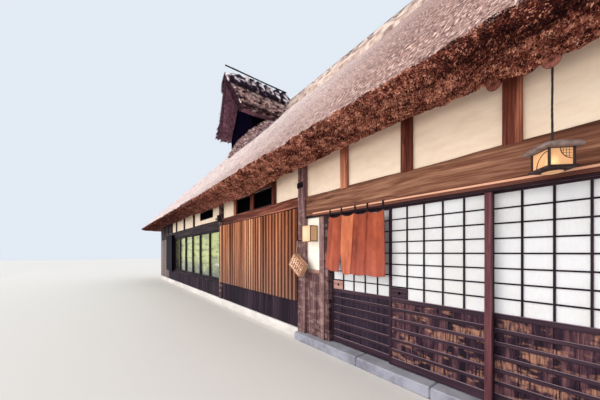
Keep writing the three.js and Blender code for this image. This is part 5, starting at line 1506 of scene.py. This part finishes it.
# The wall lantern's paper gets a painted glow about a spot at its left front, and glows by emission.
warm_paper_painted_glow = pane_paint("warm_paper_painted_glow", (226, 176, 134), (238, 204, 172), (left + 0.03, front, 1.72), 0.17, 0.15)
piece("wall_lantern_paper", [bar((left + PAPER_INSET, front + PAPER_INSET, foot + PAPER_INSET),
                                 (right - PAPER_INSET, back, top - PAPER_INSET), 0.002)],
      warm_paper_painted_glow, "lamp_paper", replaces=["wall_lantern"])
lamp_frame = [bar((x, front, foot), (x + 0.01, front + 0.008, top), 0.002) for x in (left, right - 0.01)]
lamp_frame += [bar((left, front, z), (right, front + 0.008, z + 0.01), 0.002) for z in (foot, top - 0.01)]
dark_frame = []
for y in (front, back - 0.012):
    dark_frame.append(bar((right - 0.006, y, foot), (right, y + 0.012, top), 0.002))
    dark_frame.append(bar((left, y + 0.0005, foot), (left + 0.005, y + 0.012, top), 0.002))
for z in (foot, top - 0.012):
    dark_frame.append(bar((right - 0.006, front, z), (right, back, z + 0.012), 0.002))
    dark_frame.append(bar((left, front, z), (left + 0.005, back, z + 0.012), 0.002))
piece("wall_lantern_rim", lamp_frame,
      wood_paint("pale_frame_wood", (176, 140, 108), (206, 172, 138), (226, 198, 166), cracks=0.0), "timber")
piece("wall_lantern_side", dark_frame, dark_wood, "dark_timber")


# Basket: a square box basket of split bamboo hung by one corner from a peg in the entrance post:
# strips woven over and under on both faces and round the sides, a bound rim, and a cord.
BASKET_TURN = 0.61
BASKET_HALF = (0.155, 0.108)
PEG_X, PEG_Z = 3.636, 1.612
BASKET_BACK = -4.424
BASKET_DEPTH = 0.1
WEAVE = 6
FACE_INSET = 0.006
bamboo = wood_paint("split_bamboo", (120, 76, 60), (206, 156, 126), (240, 204, 174), along=6.0, across=60.0,
                    cracks=0.0, rough=(0.4, 0.6))


def woven_strip(start, end, width, amplitude, first_up, crossings, y_face, outward):
    """A flat strip that passes over and under its neighbours: its depth is amplitude times a
    sine with one half wave to each crossing. Its section is a thin rectangle. Its tone
    varies a little at random, and strips on the back face are painted darker as the shade
    inside the basket."""
    share = np.linspace(0, 1, crossings * 4 + 1)[:, None]
    line = start + share * (end - start)
    direction = unit(end - start)
    across = np.array([-direction[1], direction[0]])
    depth = amplitude * np.sin(np.pi * crossings * share + (0 if first_up else np.pi))
    sides, layers = np.array([-1, 1, 1, -1]), np.array([0.0008, 0.0008, -0.0008, -0.0008])
    points = stack(line[:, :1] + sides * across[0] * width / 2, y_face + outward * (depth + layers),
                   line[:, 1:] + sides * across[1] * width / 2)
    if outward > 0:
        points = points[:, ::-1]
    grain = stack(sides * width / 2, 0.0, share * np.linalg.norm(end - start)) + start.sum() * 30
    return tube(points, grain, 0.15 * math.sin(40 * start.sum()) - 0.45 * (outward > 0))


turn_x = np.array([math.cos(BASKET_TURN), -math.sin(BASKET_TURN)])
turn_z = np.array([math.sin(BASKET_TURN), math.cos(BASKET_TURN)])
basket_middle = np.array([3.7, 1.221])
face_ys = (BASKET_BACK - BASKET_DEPTH + FACE_INSET, BASKET_BACK - FACE_INSET)
strips = []
for y_face, outward in zip(face_ys, (-1, 1)):
    for number, place_at in enumerate((np.arange(WEAVE) + 0.5) / WEAVE * 2 - 1):
        for first, second, parity in ((turn_x, turn_z, 0), (turn_z, turn_x, 1)):
            reach, side_reach = BASKET_HALF[parity] - 0.003, BASKET_HALF[1 - parity] - 0.003
            middle_at = basket_middle + second * place_at * side_reach
            strips.append(woven_strip(middle_at - first * reach, middle_at + first * reach,
                                      1.1 * side_reach / WEAVE, 0.003, (number + parity) % 2 == 0, WEAVE,
                                      y_face, outward))
# A dark flat sheet between the basket's faces: painted shade of its inside.
along_basket = turn_x * (BASKET_HALF[0] - FACE_INSET)
inside_shade_sheet = woven_strip(basket_middle - along_basket, basket_middle + along_basket, 2 * BASKET_HALF[1] - 0.012, 0.0,
                    True, 1, BASKET_BACK - BASKET_DEPTH / 2, -1)
piece("basket_inside_shade", [inside_shade_sheet], bar_wood, "wicker")
rim_parts = []
corners = [basket_middle + sx * BASKET_HALF[0] * turn_x + sz * BASKET_HALF[1] * turn_z
           for sx, sz in ((-1, -1), (1, -1), (1, 1), (-1, 1))]
for number in range(4):
    a, b = corners[number], corners[(number + 1) % 4]
    for y in face_ys:
        rim_parts.append(pole((a[0], y, a[1]), (b[0], y, b[1]), 0.0055, 420 + number, 8, 16, 0.0))
    inward = unit(basket_middle - (a + b) / 2) * 0.003
    a, b = a + inward, b + inward
    for y in np.linspace(BASKET_BACK - BASKET_DEPTH + 0.016, BASKET_BACK - 0.016, 6):
        strips.append(pole((a[0], y, a[1]), (b[0], y, b[1]), 0.0066, 430 + number, 6, 10, 0.0))
piece("basket_weave", strips + rim_parts, bamboo, "wicker", smooth=True, replaces=["basket"])
top_x, top_z = corners[3]
cord_y = BASKET_BACK - 0.025
cords = []
for shift_x, shift_z, peg_shift, seed in ((0.006, -0.006, 0.003, 441), (-0.03, -0.03, -0.004, 442)):
    cords.append(pole((top_x + shift_x, cord_y, top_z + shift_z), (PEG_X + peg_shift, cord_y, PEG_Z), 0.0026, seed,
                      7, 24, 0.004))
straw_cord = wood_paint("straw_cord", (170, 130, 96), (206, 170, 136), (230, 204, 176), along=30.0, across=300.0,
                        cracks=0.0)
piece("basket_cord", cords, straw_cord, "wicker", smooth=True)
piece("basket_peg", [pole((PEG_X, -4.371, PEG_Z), (PEG_X, cord_y - 0.01, PEG_Z + 0.004), 0.0065, 443, 8, 8, 0.0)],
      pole_wood, "wicker", smooth=True)


# Entrance curtain: four lengths of rust-dyed hemp hung by black loops from the lintel strip. The
# first hangs free of the other three, which are sewn side by side, and drifts to the left below.
def cloth_paint(name):
    """Plain-woven hemp dyed in rust: each length its own dye by its tone, which also carries
    painted light and shade along the folds; paler and pinker below, darker at the seams, with a fine weave."""
    made, tree, place = fresh(name)
    grain, tone = carried(tree)
    warp = drawn_noise(tree, grain, (900.0, 900.0, 12.0), 2.0, 0.5)
    weft = drawn_noise(tree, grain, (14.0, 14.0, 900.0), 2.0, 0.5)
    cloud = drawn_noise(tree, grain, (7.0, 7.0, 3.0), 5.0, 0.65)
    weave = weigh(tree, warp, 0.5, weft, 0.5)
    value = calc(tree, "ADD", weigh(tree, cloud, 0.7, weave, 0.3), tone)
    colour = ramp(tree, value, [(0.2, (92, 34, 28)), (0.5, (160, 76, 52)), (0.8, (206, 122, 82))])
    low = remap(tree, level(tree, place), 1.14, 1.6, 0.5, 0.0)
    colour = blend(tree, low, colour, blend(tree, cloud, (126, 56, 54), (188, 106, 88)))
    return finish_paint(made, colour, 0.9, [(weave, 0.0008)], specular=0.15, **{"Sheen Weight": 0.15})


hemp = cloth_paint("rust_hemp")
CLOTH_Y = STRIP_FACE - 0.01
CLOTH_TOP = 1.928
SLIT_Z = 1.42
FOLDS = 1.3
CLOTHS = (
    ("curtain_left", ((4.315, 4.253), (4.551, 4.522)), CLOTH_TOP, (1.196, 1.150), (-0.02,), ["entrance_curtain"]),
    ("curtain_right", ((4.551, 4.603), (4.771, 4.735), (4.98, 4.959), (5.215, 5.252)), 1.916, (1.133, 1.142),
     (0.17, -0.1, -0.02), ()),
)
for number, (name, seams, top_end, bottom_z, tones, stands_for) in enumerate(CLOTHS):
    rng = np.random.default_rng(500 + number)
    lengths = len(seams) - 1
    columns, rows = 34 * lengths + 1, 70
    across, down = np.meshgrid(np.linspace(0, 1, columns), np.linspace(0, 1, rows), indexing="ij")
    top_x, bottom_x = (np.interp(across, np.arange(lengths + 1) / lengths, line) for line in zip(*seams))
    slit_start = (CLOTH_TOP - SLIT_Z) / (CLOTH_TOP - bottom_z[0])
    at_slit = (1 - across) if number else across
    drift = down + at_slit ** 3 * (climb(down, slit_start, 1 - slit_start) - down)
    x = top_x + (bottom_x - top_x) * drift
    high = CLOTH_TOP + (top_end - CLOTH_TOP) * across
    foot_z = bottom_z[0] + (bottom_z[1] - bottom_z[0]) * across
    within = across * lengths % 1.0
    z = high - 0.028 * np.sin(np.pi * within) * np.exp(-6 * down) - (high - foot_z) * down
    z += 0.006 * np.sin(2 * np.pi * (across * lengths + 0.2)) * down ** 4
    wide, fine = rng.uniform(0, 6.28, 4)[:2]
    wave = 2 * np.pi * across * lengths
    fold = 0.008 * np.sin(wave * FOLDS + wide + 0.8 * down) * (0.15 + down)
    fold += 0.004 * np.sin(wave * 3 + fine - 1.3 * down) * (0.2 + 0.8 * down)
    y = np.minimum(CLOTH_Y - 0.006 - fold - 0.03 * down, STRIP_FACE - 0.003)
    index = np.minimum((across * lengths).astype(int), lengths - 1)
    seam_line = np.exp(-(np.minimum(within, 1 - within) / 0.03) ** 2)
    # The sine term follows the folds: painted light on the ridges and painted shade in the hollows.
    tone = np.array(tones)[index] - 0.2 * seam_line + 0.04 * np.sin(wave * FOLDS + wide)
    order = np.arange(columns * rows).reshape(columns, rows)
    quads = np.stack([order[:-1, :-1], order[:-1, 1:], order[1:, 1:], order[1:, :-1]], -1).reshape(-1, 4)
    cloth = piece(name, [(stack(x, y, z).reshape(-1, 3), [quads], stack(x + number, 0.0, z).reshape(-1, 3),
                          tone.reshape(-1))], hemp, "cloth", smooth=True, replaces=stands_for)
    thick = cloth.modifiers.new("cloth_thickness", "SOLIDIFY")
    thick.thickness = 0.0016
    thick.offset = 0.0
STRAP_HALF = 0.013
strap_face = STRIP_FACE + np.array([-0.014, -0.004, -0.003, 0.001, 0.028])
strap_z = np.array([1.89, 1.95, 2.02, 2.028, 2.028])
strap_back = strap_face + np.array([0.0025, 0.0025, 0.0025, 0.001, 0.0])
strap_back_z = strap_z - np.array([0.0, 0.0, 0.001, 0.002, 0.002])
straps = []
for x in (4.319, 4.537, 4.775, 4.968, 5.191):
    strap = np.stack([stack(x + sign * STRAP_HALF, y_line, z_line) for sign, y_line, z_line in (
        (-1, strap_face, strap_z), (1, strap_face, strap_z), (1, strap_back, strap_back_z),
        (-1, strap_back, strap_back_z))], 1)
    straps.append(tube(strap, strap, 0.3))
piece("curtain_straps", straps, tip_paint("strap_black", (24, 18, 24), (30, 24, 30), (50, 42, 48)), "cloth")


# Small fittings: the end of a pegged tie beam beside the entrance post, and a black iron hook
# with its stay on the screen post, both darker than the wood round them.
piece("tie_stub", [bar((3.535, POST_FACE - 0.04, 2.475), (3.685, POST_FACE + 0.01, 2.57), 0.012)], box_black,
      "dark_timber")
piece("post_hook", [bar((-0.2, POST_FACE - 0.09, 2.33), (0.06, POST_FACE - 0.05, 2.37)),
                    bar((-0.02, POST_FACE - 0.11, 2.26), (0.05, POST_FACE + 0.005, 2.44))],
      black_iron, "lamp_metal")
